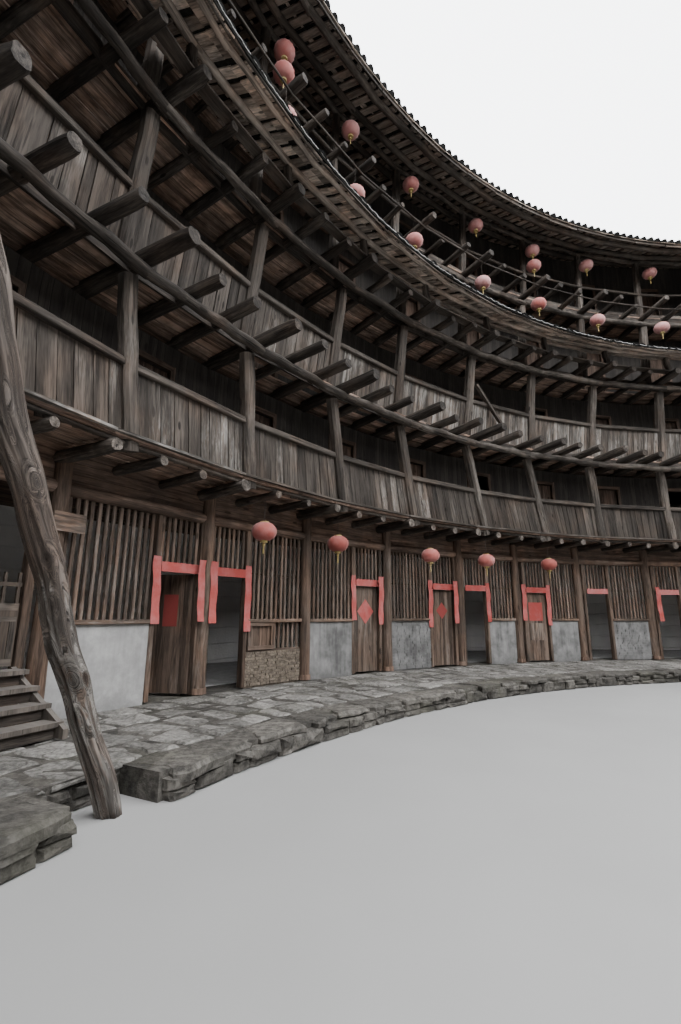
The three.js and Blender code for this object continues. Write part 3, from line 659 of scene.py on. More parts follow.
def timber_finish(name, shares, tint, silver, spread, checks, relief):
    """Old timber: fibres, checks and knots, bleached on some boards and stained on others."""
    g = Finish(name)
    dark, middle, light = (shade(tinted(colours().timber, tint), share) for share in shares)
    pale = colours().timber_silver
    tone = g.own_tone()
    grain = g.attribute("grain", "Vector")
    figure = g.figured(grain, tone, checks)
    stains = g.stained(1.6)
    ramp = g.node("ShaderNodeValToRGB", {"Fac": figure["Figure"]})
    marks = ramp.color_ramp.elements
    marks.new(0.47)
    for mark, place, colour in zip(marks, (0.375, 0.47, 0.575), (dark, middle, light)):
        mark.position = place
        mark.color = (*colour, 1.0)
    base = g.scaled(ramp.outputs["Color"], g.maths("POWER", 1.0 + spread, tone))
    warm = g.band(g.noise(g.place, 3.1, 1.0), 0.42, 0.66)
    base = g.mix(g.times(warm, 0.4), base, g.mix(1.0, base, (1.22, 0.95, 0.78), "MULTIPLY"))
    bleach = g.fused(tone, 0.5, g.times(stains["Stain"], 0.6))
    peel = g.noise(g.stretched(grain, 2.6, 14.0, 14.0), 1.0, 3.0, 0.85)
    bleach = g.times(g.band(bleach, 0.15, 0.75), g.band(peel, 0.45, 0.53, silver * 0.1, silver))
    colour = g.mix(bleach, base, g.mix(g.band(figure["Figure"], 0.4, 0.56), shade(pale, 0.4),
                                       shade(pale, 1.7)))
    colour = g.mix(g.times(stains["Run"], 0.55), colour, g.mix(0.35, dark, middle))
    colour = g.mix(g.times(figure["Check"], 0.8), colour, shade(dark, 0.5))
    g.close(colour, g.band(figure["Figure"], 0.2, 0.8, 0.9, 0.72), 0.25, figure["Height"], relief, 0.006)


def plaster_finish(name, light, dark, wear):
    """Lime plaster with damp feet, trowel marks and grey patches."""
    g = Finish(name)
    c = colours().plaster
    stains = g.stained(4.0)
    mottle = g.noise(g.place, 9.0, 4.0, 0.7)
    foot = g.band(g.fused(mottle, 0.25, g.parts(g.place)[2]), 0.5, 0.18)
    dirt = g.fused(stains["Stain"], wear, g.times(stains["Run"], wear * 0.5), clamp=True)
    dirt = g.maths("MAXIMUM", dirt, g.times(foot, 0.75))
    colour = g.mix(dirt, shade(c, light), shade(c, dark))
    colour = g.mix(g.band(mottle, 0.35, 0.75), g.mix(1.0, colour, (0.8, 0.8, 0.8), "MULTIPLY"), colour)
    rise = g.fused(g.noise(g.place, 60.0, 2.0), 0.4, mottle)
    g.close(colour, 0.9, 0.2, rise, 0.35, 0.006)


def stone_finish(name, base, tint, light, dark, moss, grit, relief, joints, size, gloss):
    """Stone, brick or fired clay: clouds, grit and growth, with joints where it's paved."""
    g = Finish(name)
    c = tinted(getattr(colours(), base), tint)
    light, deep, dark = shade(c, light), shade(c, dark * 0.4), shade(c, dark)
    tone = g.own_tone()
    moved = g.vector("ADD", g.place, g.joined(g.times(tone, 3.1), tone))
    cloud = g.noise(moved, 5.0, 4.0, 0.65)
    grain = g.noise(moved, grit, 3.0, 0.75)
    colour = g.mix(g.band(cloud, 0.3, 0.7), dark, light)
    colour = g.mix(0.5, colour, g.mix(g.band(grain, 0.3, 0.7), deep, shade(light, 1.5)))
    colour = g.scaled(colour, g.maths("POWER", 1.28, tone))
    growth = g.times(g.band(g.noise(g.place, 2.2, 4.0), 0.5, 0.72), moss)
    colour = g.mix(growth, colour, (0.075, 0.074, 0.05))
    if joints:
        split = g.filled(stone_joints(), Place=g.place, Scale=size)
        colour = g.scaled(colour, g.band(split["Stone"], 0.0, 1.0, 0.72, 1.25))
        patchy = g.band(g.noise(g.place, 3.7, 1.0), 0.4, 0.6, joints * 0.1, joints)
        colour = g.mix(g.times(split["Joint"], patchy), colour, (0.036, 0.031, 0.026))
    g.close(colour, g.band(grain, 0.2, 0.8, 0.92, 0.7), gloss, g.fused(grain, 0.5, cloud), relief, 0.014)


def earth_finish(name):
    """Rammed earth: lifts of a hand's height, pebbles, pores and rain marks."""
    g = Finish(name)
    c = colours().earth
    wash = colours().plaster
    stains = g.stained(0.9)
    wave = g.times(g.noise(g.place, 1.3, 2.0), 0.5)
    lifts = g.fused(g.parts(g.place)[2], 4.6, wave)
    joint = g.band(g.maths("FRACT", lifts), 0.12, 0.0)
    grain = g.noise(g.place, 34.0, 4.0, 0.7)
    cloud = g.noise(g.place, 3.2, 3.0, 0.6)
    colour = g.mix(g.band(cloud, 0.3, 0.7), shade(c, 0.72), shade(c, 1.12))
    colour = g.mix(g.times(grain, 0.4), colour, shade(c, 0.55))
    colour = g.mix(g.times(stains["Run"], 0.45), colour, shade(c, 0.42))
    colour = g.scaled(colour, g.band(g.chance(g.maths("FLOOR", lifts)), 0.0, 1.0, 0.78, 1.16))
    colour = g.mix(g.times(joint, 0.75), colour, shade(c, 0.35))
    reach = g.node("ShaderNodeVectorMath", {0: g.stretched(g.place, 1.0, 1.0, 0.0)},
                   operation="LENGTH").outputs["Value"]
    # Inside the rooms the wall takes a whitewash; its extra paleness is painted light for the dim rooms.
    inside = g.band(reach, (ROOM_END_R + 0.3) * SCALE, (ROOM_END_R + 0.2) * SCALE)
    colour = g.mix(inside, colour, g.mix(g.times(stains["Stain"], 0.5), shade(wash, 1.8), shade(wash, 0.9)))
    rise = g.less(g.fused(grain, 0.5, cloud), joint)
    g.close(colour, 0.94, 0.15, rise, 0.7, 0.02)


def cloth_finish(name, base, fade):
    """Thin dyed cloth or paper, faded unevenly."""
    g = Finish(name)
    colour = getattr(colours(), base)
    tone = g.attribute("tone")
    thread = g.noise(g.stretched(g.place, 90.0, 90.0, 30.0), 1.0, 3.0)
    share = g.times(g.band(g.noise(g.place, 7.0), 0.35, 0.7), fade)
    share = g.fused(tone, fade * 0.6, share, clamp=True)
    dyed = g.mix(share, colour, [min(1.0, v * 0.7 + 0.22) for v in colour])
    dyed = g.mix(g.times(thread, 0.35), dyed, shade(colour, 0.45))
    dyed = g.scaled(dyed, g.maths("POWER", 1.3, g.maths("MINIMUM", tone, 0.3)))
    g.feed(g.shader["Sheen Weight"], 0.15)
    g.close(dyed, 0.78, 0.5, thread, 0.25, 0.002)


def plank_finish(name):
    """Close upright boards around the ring, drawn from the place's own angle."""
    g = Finish(name)
    c = colours()
    x, y, z = g.parts(g.place)
    boards = g.times(g.maths("ARCTAN2", y, x), 112.0)
    share = g.maths("FRACT", boards)
    chance = g.chance(g.maths("FLOOR", boards))
    grain = g.stretched(g.joined(z, g.times(share, 0.07), g.times(chance, 3.0)), 2.0, 2.0, 2.0)
    figure = g.figured(grain, g.fused(chance, 2.0, -1.0), 0.5)
    colour = g.mix(g.band(figure["Figure"], 0.36, 0.6), shade(c.timber_dark, 0.5), shade(c.timber, 0.75))
    colour = g.mix(g.times(chance, 0.6), colour, shade(c.timber, 0.28))
    seam = g.band(g.maths("ABSOLUTE", g.less(share, 0.5)), 0.45, 0.495)
    colour = g.mix(seam, colour, (0.006, 0.005, 0.004))
    rise = g.less(g.times(figure["Height"], 0.3), seam)
    g.close(colour, 0.85, 0.5, rise, 0.6, 0.006)


def solid_timber(name, tint):
    """Timber for a solid that stays in view, with its grain upright or level by place."""
    g = Finish(name)
    c = tinted(colours().timber, tint)
    normal = g.node("ShaderNodeNewGeometry").outputs["Normal"]
    upward = g.maths("ABSOLUTE", g.parts(normal)[2])
    x, y, z = g.parts(g.node("ShaderNodeMapping", {
        "Vector": g.place, "Rotation": (0.0, 0.0, math.radians(-64.5))}).outputs[0])
    chosen = g.node("ShaderNodeMix", data_type="VECTOR")
    for number, value in ((0, g.band(upward, 0.4, 0.6)), (4, g.joined(z, y, x)), (5, g.joined(y, x, z))):
        g.feed(chosen.inputs[number], value)
    figure = g.figured(g.stretched(chosen.outputs[1], 2.0, 2.0, 2.0), 0.3, 0.7)
    colour = g.mix(g.band(figure["Figure"], 0.25, 0.75), shade(c, 0.45), shade(c, 1.7))
    colour = g.mix(g.times(figure["Check"], 0.8), colour, shade(c, 0.15))
    colour = g.mix(g.times(upward, 0.35), colour, shade(colours().timber_silver, 1.1))
    g.close(colour, 0.85, 0.5, figure["Height"], 0.5, 0.005)


def floor_finish(name):
    g = Finish(name)
    cloud = g.band(g.noise(g.place, 0.6, 3.0), 0.3, 0.7)
    g.close(g.mix(cloud, (0.27, 0.267, 0.26), (0.3, 0.297, 0.29)), 0.9, 0.5)


PLAIN = (1.0, 1.0, 1.0)
# Each finish's builder and its values; the numbers are shares of the user's own colour
FINISHES = {
    # Shares of the dark, middle and light fibres, tint, silver, spread, checks, relief
    "Old timber": (timber_finish, (0.35, 1.0, 1.8), PLAIN, 0.3, 0.4, 0.8, 0.7),
    "Parapet boards": (timber_finish, (0.4, 1.1, 2.1), PLAIN, 0.95, 0.55, 0.8, 0.9),
    "Log timber": (timber_finish, (0.25, 0.62, 1.4), PLAIN, 0.16, 0.35, 1.0, 1.0),
    # A paler, warmer copy of the old timber for floor undersides, the head band and doors in shade; its
    # paleness is painted fill light.
    "Shaded timber": (timber_finish, (0.65, 1.75, 3.3), (1.13, 0.95, 0.87), 0.15, 0.4, 0.8, 0.5),
    # A far paler copy of the old timber for the roofs' undersides, rafters and laths; its paleness is
    # painted fill light.
    "Roof timber": (timber_finish, (1.6, 3.6, 5.8), PLAIN, 0.3, 0.4, 0.8, 0.5),
    "Door timber": (timber_finish, (0.35, 0.85, 1.55), (1.75, 1.5, 1.36), 0.4, 0.35, 0.8, 0.5),
    "Prop trunk": (timber_finish, (0.35, 1.4, 3.0), (1.0, 0.97, 0.97), 0.9, 0.25, 1.0, 1.0),
    "Stair planks": (solid_timber, (1.4, 1.4, 1.4)),
    "Gate planks": (solid_timber, (1.05, 0.92, 0.82)),
    "Room boards": (plank_finish,),
    "Pale plaster": (plaster_finish, 1.0, 0.5, 0.4),
    "Grey plaster": (plaster_finish, 0.62, 0.25, 0.75),
    "Rammed earth": (earth_finish,),
    # Colour, tint, light, dark, moss, grit, relief, joints, size of the stones, gloss
    "Worn paving": (stone_finish, "stone", PLAIN, 1.35, 0.68, 0.25, 30.0, 1.0, 0.6, 5.0, 0.3),
    "Rubble stone": (stone_finish, "stone", (1.03, 1.0, 0.96), 0.66, 0.22, 0.4, 22.0, 1.0,
                     0.35, 3.4, 0.3),
    "Thin brick": (stone_finish, "stone", (1.27, 1.084, 0.916), 1.0, 0.455, 0.2, 30.0, 0.7,
                   0.0, 1.0, 0.3),
    "Clay tile": (stone_finish, "tile", PLAIN, 1.6, 0.6, 0.18, 20.0, 0.4, 0.0, 1.0, 0.06),
    "Red paper": (cloth_finish, "paper", 0.35),
    "Lantern cloth": (cloth_finish, "lantern", 0.5),
    "Gold thread": (cloth_finish, "gold", 0.3),
    "Studio floor": (floor_finish,),
}


def finish(name):
    """The material of that name, made when it's first asked for."""
    if name not in bpy.data.materials:
        build, *values = FINISHES[name]
        build(name, *values)
    return bpy.data.materials[name]


def finish_node(name, label):
    """Gives a solid that stays in view its finish."""
    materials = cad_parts[name].data.materials
    materials.clear()
    materials.append(finish(label))


# Timber galleries


def post_shift(level, line):
    gallery = GALLERIES[level]
    return POST_SHIFT.get(level, {}).get(line, (gallery.foot, gallery.head))


def post_face(level, share):
    return POST_FACE_R - GALLERIES[level].lean * share


def add_post(m, level, line):
    """A gallery post on a bay line, leaning as the real one does."""
    foot, head = post_shift(level, line)
    size = sizes().post_radius * (0.8 if level == "5f" else 1.0)
    low = FLOORS[level].top - (0.16 if level == "2f" else 0.02)
    start = polar(post_face(level, 0) + size, line * BAY + foot, low)
    end = polar(post_face(level, 1) + size, line * BAY + head, GALLERIES[level].top - 0.14)
    wide = size * m.draw(0.92, 1.1)
    m.prism(start, end, eased(2 * wide, 2 * size, size * 0.42), up=polar(1, line * BAY, 0), rings=5,
            sway=0.012, taper=0.93, swell=0.04, tone=m.draw(-1.1, 0.1) + 1.1 * (line < PALE_BAYS))


def add_boards(m, level, k, a0, a1, b0, b1):
    """Upright boards between two posts: a at the foot, b at the parapet's top."""
    gallery, floor = GALLERIES[level], FLOORS[level]
    low = floor.top - (0.1 if level == "2f" else -0.05)
    high = floor.top + gallery.parapet - 0.03
    share = gallery.parapet / (gallery.top - floor.top)
    foot_r, head_r = post_face(level, 0) + 0.1, post_face(level, share) + 0.1
    width = math.radians(a1 - a0) * foot_r
    j = m.draw
    cuts = [0.0]
    for _ in range(max(1, round(width / sizes().board_width))):
        cuts.append(cuts[-1] + j(0.65, 1.35))
    cuts = [c / cuts[-1] for c in cuts]
    run, lean = 0.0, BOARD_TONE.get(level, {}).get(k, 0.0)
    for left, right in zip(cuts, cuts[1:]):
        middle = (left + right) / 2
        run = 0.3 * run + j(-1.0, 1.0)
        start = polar(foot_r + j(-0.006, 0.006), a0 + (a1 - a0) * middle, low + j(-0.02, 0.015))
        end = polar(head_r, b0 + (b1 - b0) * (middle + j(-0.003, 0.003)), high)
        outline = rect(width * (right - left) - m.random.choice((0.009, 0.012, 0.02)), 0.024)
        m.prism(start, end, outline, up=polar(1, (a0 + a1) / 2, 0), tone=run + lean)


def gallery_bay(posts, boards, level, k):
    """One bay of a storey: post, parapet or rail, and the round beam over it."""
    gallery, top = GALLERIES[level], FLOORS[level].top
    (foot0, head0), (foot1, head1) = post_shift(level, k), post_shift(level, k + 1)
    a0, a1 = k * BAY + foot0, (k + 1) * BAY + foot1
    c0, c1 = k * BAY + head0, (k + 1) * BAY + head1

    def leant(height):
        share = height / (gallery.top - top)
        return post_face(level, share), a0 + (c0 - a0) * share, a1 + (c1 - a1) * share

    add_post(posts, level, k)
    sill_r = post_face(level, 0)
    if gallery.parapet > 0.5:
        rail_r, b0, b1 = leant(gallery.parapet)
        half = angle_of(sizes().post_radius * 0.9, 16.9)
        add_boards(boards, level, k, a0 + half, a1 - half, b0 + half, b1 - half)
        posts.along(rail_r + 0.085, b0, b1, top + gallery.parapet, eased(0.1, 0.11, 0.015),
                    rings=3, sway=0.006, tone=posts.draw(-1.2, -0.4))
        boards.along(sill_r + 0.07, a0, a1, top - (0.085 if level == "2f" else -0.03),
                     eased(0.07, 0.06, 0.015), rings=2, sway=0.006, tone=-0.4)
    else:
        posts.along(sill_r + 0.08, a0, a1, top + 0.07, eased(0.12, 0.13, 0.015), rings=2, sway=0.006)
    beam = sizes().beam_radius
    beam_z = gallery.top - beam - 0.02
    if level == "5f":
        rail_r, b0, b1 = leant(0.87)
        posts.along(rail_r + 0.02, b0 - 0.3, b1 + 0.3, top + 0.87, circle(0.045, 7), rings=3,
                    sway=0.012, tone=-0.3, smooth=True)
        beam *= 0.8
        beam_z -= 0.06
    beam_r = post_face(level, 1) + (-0.12 if level in ("2f", "3f") else 0.06)
    overlap = angle_of(0.12, beam_r)
    posts.along(beam_r, c0 - overlap, c1 + overlap, beam_z, circle(beam, 10), rings=8,
                sway=0.022, taper=0.9, swell=0.07, smooth=True, finish=1,
                tone=posts.draw(-0.6, 0.6) + 1.2 * (k < PALE_BAYS))


class ROUNDHOUSE_OT_galleries(Operator):
    """Build the leaning posts, boarded parapets, rails and round beams of each storey."""

    bl_idname = "roundhouse.galleries"
    bl_label = "Galleries"

    def execute(self, context):
        for salt, level in enumerate(GALLERIES):
            posts, boards = Mesher(salt), Mesher(salt + 20)
            for k in FRONT:
                gallery_bay(posts, boards, level, k)
            if level == "3f":
                posts.prism(polar(16.78, 119.3, 8.0), polar(16.78, 116.1, 6.9),
                            rect(0.09, 0.07), rings=2, sway=0.004, tone=0.2)
            replaced = both_arcs(f"gallery_{level}")
            if level == "2f":
                replaced = ["gallery_2f_front_east", "gallery_2f_front_middle",
                            "gallery_2f_front_west", "gallery_2f_rear"]
            posts.piece(f"gallery_{level}_posts", "gallery_timber", "Old timber", "Log timber",
                        replaces=replaced)
            if boards.count:
                boards.piece(f"gallery_{level}_boards", "gallery_timber", "Parapet boards")
            posts, boards = Mesher(salt + 40), Mesher(salt + 60)
            gallery_bay(posts, boards, level, 0)
            posts.around(f"gallery_{level}_rear_posts", "gallery_timber", "Old timber",
                         REAR_COUNT, REAR_START)
            if boards.count:
                boards.around(f"gallery_{level}_rear_boards", "gallery_timber",
                              "Parapet boards", REAR_COUNT, REAR_START)
        return {"FINISHED"}


# Floors


def log_outline(draw, size, squared):
    """A hewn log's section: between round and square, and lumpy."""
    lumps = [(draw(0.01, 0.06), n, draw(0, 6.28)) for n in (2, 3, 5)]
    turn = draw(-0.2, 0.2)
    outline = []
    for i in range(12):
        t = math.radians(30 * i)
        corner = min(1 / max(abs(math.cos(t)), abs(math.sin(t))), 1.3)
        reach = size * (1 - squared + squared * corner)
        reach *= 1 + sum(high * math.sin(n * t + phase) for high, n, phase in lumps)
        outline.append((reach * math.cos(t + turn), reach * math.sin(t + turn)))
    return outline


def floor_bay(logs, planks, level, k):
    """Joist logs that stand out into the courtyard, and the planks on them.

    Bay 0 is the module that the unseen bays repeat.
    """
    floor = FLOORS[level]
    low_floor = level == "2f"
    draw = logs.draw
    edge = FLOOR_EDGE_R - 0.045
    depth = floor.top - floor.under
    if low_floor:
        planks.along(edge - 0.03, k * BAY, (k + 1) * BAY, floor.top + 0.01, rect(0.13, 0.04), rings=4,
                     sway=0.006, finish=1, tone=1.9 if k >= 18 else draw(-0.8, 0.1))
    else:
        planks.along(edge, k * BAY, (k + 1) * BAY, floor.top - depth / 2, rect(0.04, depth - 0.02), rings=3,
                     sway=0.006, finish=2, tone=draw(-1.0, 0.0))
    for i in range(LOGS_PER_BAY):
        index = (k % BAYS) * LOGS_PER_BAY + i
        main = i == 0
        centre = (k + i / LOGS_PER_BAY) * BAY + SEAM_SHIFT * (main and k == FRONT[0])
        turn = 0 if main else 0.25 * uneven(index, 1)
        tip = floor.tip + floor.jitter * (-1 if main else uneven(index, 2))
        if k == 0 and not main:
            tip = FLOOR_EDGE_R - 0.1
        size = floor.log * (1.12 if main else draw(0.82, 1.0))
        z = floor.z + (draw(-0.04, 0.05) if level == "5f" else draw(-0.02, 0.02))
        tip_z = z + 0.06 * uneven(index, 3) * (level == "5f")
        worn = draw(0.82, 0.95)
        logs.prism(polar(tip, centre + turn, tip_z), polar(18.3, centre, z),
                   log_outline(draw, size, 0.15 if low_floor else draw(0.35, 0.9)),
                   stations=((0, worn), (0.015, worn + 0.05), (0.06, 0.98), (0.3, 1.0),
                             (0.6, 1.03), (1, 1.05)),
                   sway=0.008, swell=0.03, smooth=True,
                   tone=draw(-1.1, 0.5) + 0.5 * low_floor,
                   end_tone=draw(-1.6, -0.1) + 2.6 * low_floor)
    edges = (FLOOR_EDGE_R - 0.1, 17.12, 17.33, 17.55, 17.76, 17.93)
    j = planks.draw
    for inner, outer in zip(edges, edges[1:]):
        gap, high = j(0.012, 0.03), floor.top + j(-0.006, 0.006)
        if planks.random.random() < 0.04 and not low_floor:
            continue
        # The planks' raised tone lightens their shaded undersides further: painted fill light.
        planks.block(inner + gap / 2, outer - gap / 2, k * BAY + 0.03, (k + 1) * BAY - 0.03,
                     high - 0.045, high, tone=draw(1.0, 3.0), steps=2)


class ROUNDHOUSE_OT_floors(Operator):
    """Build the floors: round joists whose ends stand out, and planks along the ring."""

    bl_idname = "roundhouse.floors"
    bl_label = "Floors and joists"

    def execute(self, context):
        for salt, (level, floor) in enumerate(FLOORS.items(), 100):
            logs, planks = Mesher(salt), Mesher(salt + 20)
            for k in FRONT:
                floor_bay(logs, planks, level, k)
            logs.piece(f"floor_{level}_logs", "floor_timber", "Log timber",
                       replaces=both_arcs(f"floor_{level}"))
            planks.piece(f"floor_{level}_planks", "floor_timber", "Shaded timber",
                         "Parapet boards", "Log timber")
            logs, planks = Mesher(salt + 40), Mesher(salt + 60)
            floor_bay(logs, planks, level, 0)
            for m, part, label in ((logs, "logs", "Log timber"), (planks, "planks", "Shaded timber")):
                m.around(f"floor_{level}_rear_{part}", "floor_timber", label, REAR_COUNT, REAR_START)
            slab = Mesher(salt + 80)
            slab.block(17.93, ROOM_END_R, 0, 4.0, floor.top - 0.12, floor.top, tone=0.0, closed=True)
            slab.piece(f"floor_{level}_rooms", "floor_timber", "Shaded timber")
        return {"FINISHED"}


# Ground floor front

PALE, GREY, WOODEN, BRICK = "pale", "grey", "wooden", "brick"
LOW_WALLS = from_bay_8(PALE, BRICK, GREY, PALE, BRICK, GREY, GREY, BRICK, GREY, WOODEN, PALE)
# The last finish is timber made paler as painted fill light, for the shaded head band and the posts' feet.
FRONT_FINISHES = ("Door timber", "Pale plaster", "Grey plaster", "Thin brick", "Shaded timber")
PALE_SLOT, GREY_SLOT, BRICK_SLOT, FILL_LIT_SLOT = range(1, 5)
# Which jambs of a doorway carry a paper strip: the one at the smaller angle, the other
STRIPS = {11: (0, 1), 12: (0, 0), 14: (1, 0)}
STRIP_LIFT = 0.22


def add_bars(m, a0, a1, low, high, rod=False):
    """Thick upright lattice bars between two angles."""
    width = math.radians(a1 - a0) * FRONT_R
    count = max(2, round(width / sizes().lattice_pitch))
    for i in range(count):
        a = a0 + (a1 - a0) * (i + 0.5 + m.draw(-0.05, 0.05)) / count
        lean = m.draw(-0.015, 0.015)
        m.prism(polar(BAR_R, a, low), polar(BAR_R, a + lean, high), eased(0.056, 0.05, 0.008),
                up=polar(1, a, 0), rings=2, sway=0.0015, tone=m.draw(-0.1, 0.9))
    if rod:
        m.along(BAR_R + 0.03, a0, a1, low + (high - low) * 0.52, circle(0.014, 6), tone=-0.5)


def add_plank_wall(m, a0, a1, low, high, radius=SILL_R, shift=0.0):
    """Close upright boards."""
    width = math.radians(a1 - a0) * radius
    count = max(1, round(width / 0.16))
    for i in range(count):
        m.upright(radius + 0.015, a0 + (a1 - a0) * (i + 0.5) / count, low, high,
                  rect(width / count - 0.006, 0.03), tone=m.draw(-0.5, 0.4) + shift)


def brick_courses(m, a0, a1, base, course, finish):
    """Bricks laid in half-lapped courses before a backing."""
    j = m.draw
    m.block(FACE_R + 0.02, FRONT_R + FRONT_DEPTH, a0, a1, WALK_Z - 0.03, base, tone=-0.8,
            finish=finish, steps=3)
    z, row = WALK_Z, 0
    while z < base - 0.02:
        a = a0 - angle_of(BRICK_LENGTH, FRONT_R) * (0.5 if row % 2 else m.random.random())
        while a < a1:
            length = angle_of(BRICK_LENGTH * j(0.8, 1.1), FRONT_R)
            left, right = max(a, a0), min(a + length, a1)
            if right - left > 0.1:
                m.block(FACE_R - j(0.0, 0.012), FACE_R + 0.04, left + 0.02, right - 0.02, z + 0.004,
                        min(z + course, base) - 0.004, tone=j(-0.9, 0.9), finish=finish)
            a += length
        z += course
        row += 1


def low_wall(m, kind, a0, a1):
    """What fills a window bay below its sill."""
    top = SILL_Z - 0.05
    if kind in (PALE, GREY):
        m.block(FACE_R, FRONT_R + FRONT_DEPTH, a0, a1, WALK_Z - 0.03, top, tone=0.0,
                finish=PALE_SLOT if kind == PALE else GREY_SLOT, steps=3)
        return
    if kind == BRICK:
        brick_courses(m, a0, a1, top, 0.075, GREY_SLOT)
        return
    base = WALK_Z + 0.62
    brick_courses(m, a0, a1, base, 0.052, BRICK_SLOT)
    middle = a0 + (a1 - a0) * 0.52
    m.along(FACE_R + 0.05, a0, a1, base, eased(0.07, 0.08, 0.01), rings=2, tone=-0.1)
    add_plank_wall(m, middle, a1 - 0.1, base + 0.03, top, radius=FACE_R + 0.02)
    for z in (base + 0.07, top - 0.04):
        m.along(FACE_R, middle, a1 - 0.1, z, rect(0.06, 0.07), tone=0.4)
    for a in (middle + 0.1, a1 - 0.2):
        m.upright(FACE_R, a, base + 0.04, top, rect(0.07, 0.06), tone=0.4)
    add_bars(m, a0, middle, base + 0.04, top)


def door_frame(m, a0, a1):
    """Jambs, head and the short lattice over a doorway."""
    half = angle_of(JAMB / 2, FRONT_R)
    for a in (a0 - half, a1 + half):
        m.upright(BAR_R, a, WALK_Z, LATTICE_TOP, eased(JAMB, 0.15, 0.012), rings=3, sway=0.003,
                  tone=m.draw(-0.4, 0.3))
    m.along(BAR_R, a0, a1, DOOR_TOP + 0.045, eased(0.12, 0.09, 0.01), tone=m.draw(-0.3, 0.3))
    add_bars(m, a0, a1, DOOR_TOP + 0.09, LATTICE_TOP)


def ground_post(m, degrees):
    foot, middle, head = (polar(FRONT_R + 0.02, degrees, z) for z in
                          (WALK_Z, WALK_Z + 0.1, FLOORS["2f"].under + 0.02))
    m.prism(middle, head, circle(0.125, 12), rings=5, sway=0.01, taper=0.94, swell=0.03,
            tone=m.draw(-0.7, 0.1), smooth=True)
    m.prism(foot, middle, circle(0.15, 10), taper=0.95, tone=-0.6, finish=FILL_LIT_SLOT)


def window_bay(m, a0, a1, kind=None, rod=False, sway=0.004, tone=0.1):
    """A sill and its lattice, over a low wall where kind names one."""
    m.along(SILL_R, a0, a1, SILL_Z - 0.02, eased(0.16, 0.07, 0.012), rings=2, sway=sway, tone=tone)
    add_bars(m, a0, a1, SILL_Z + 0.01, LATTICE_TOP, rod)
    if kind:
        low_wall(m, kind, a0, a1)


def head_boards(m, a0, a1):
    """Head beam over the lattices and the close level boards up to the floor above."""
    m.along(SILL_R, a0, a1, HEAD_Z + 0.01, circle(0.095, 10), rings=3, sway=0.006,
            tone=0.2, smooth=True, finish=FILL_LIT_SLOT)
    low, high = HEAD_Z + 0.08, FLOORS["2f"].top - 0.05
    count = round((high - low) / 0.17)
    for i in range(count):
        z0, z1 = low + (high - low) * i / count, low + (high - low) * (i + 1) / count
        m.block(SILL_R, FRONT_R + 0.08, a0, a1, z0 + 0.004, z1 - 0.004,
                tone=m.draw(-0.5, 0.4) - 0.5, finish=FILL_LIT_SLOT)


def paper(m, degrees, low, high, width, radius, lean):
    """A plain hung paper strip, buckled along its length and curled at the foot."""
    steps, across, curl = 10, 2, 0.02
    half = angle_of(width / 2, radius)
    tone = m.draw(-0.4, 0.8)
    row = across + 1
    i, j = np.divmod(np.arange(steps * across), across)
    a = i * row + j
    quads = np.column_stack((a, a + 1, a + row + 1, a + row))
    for side, faces in enumerate((quads[:, ::-1], quads)):
        points, grain = [], []
        for i in range(steps + 1):
            u = i / steps
            bulge = 0.010 * math.sin(u * 11 + tone * 3) + curl * max(0.0, 0.25 - u) ** 2 * 8
            centre = degrees + lean * (1 - u) + 0.02 * math.sin(u * 7 + tone * 5)
            for j in range(row):
                x = 2 * j / across - 1
                fold = 0.008 * x * math.sin(u * 16 + tone * 9) + 0.005 * (1 - x * x)
                points.append(polar(radius - bulge - fold + 0.002 * side, centre + half * x,
                                    low + (high - low) * u))
                grain.append((low + u, x, side))
        m.add(points, [faces], grain, tone)


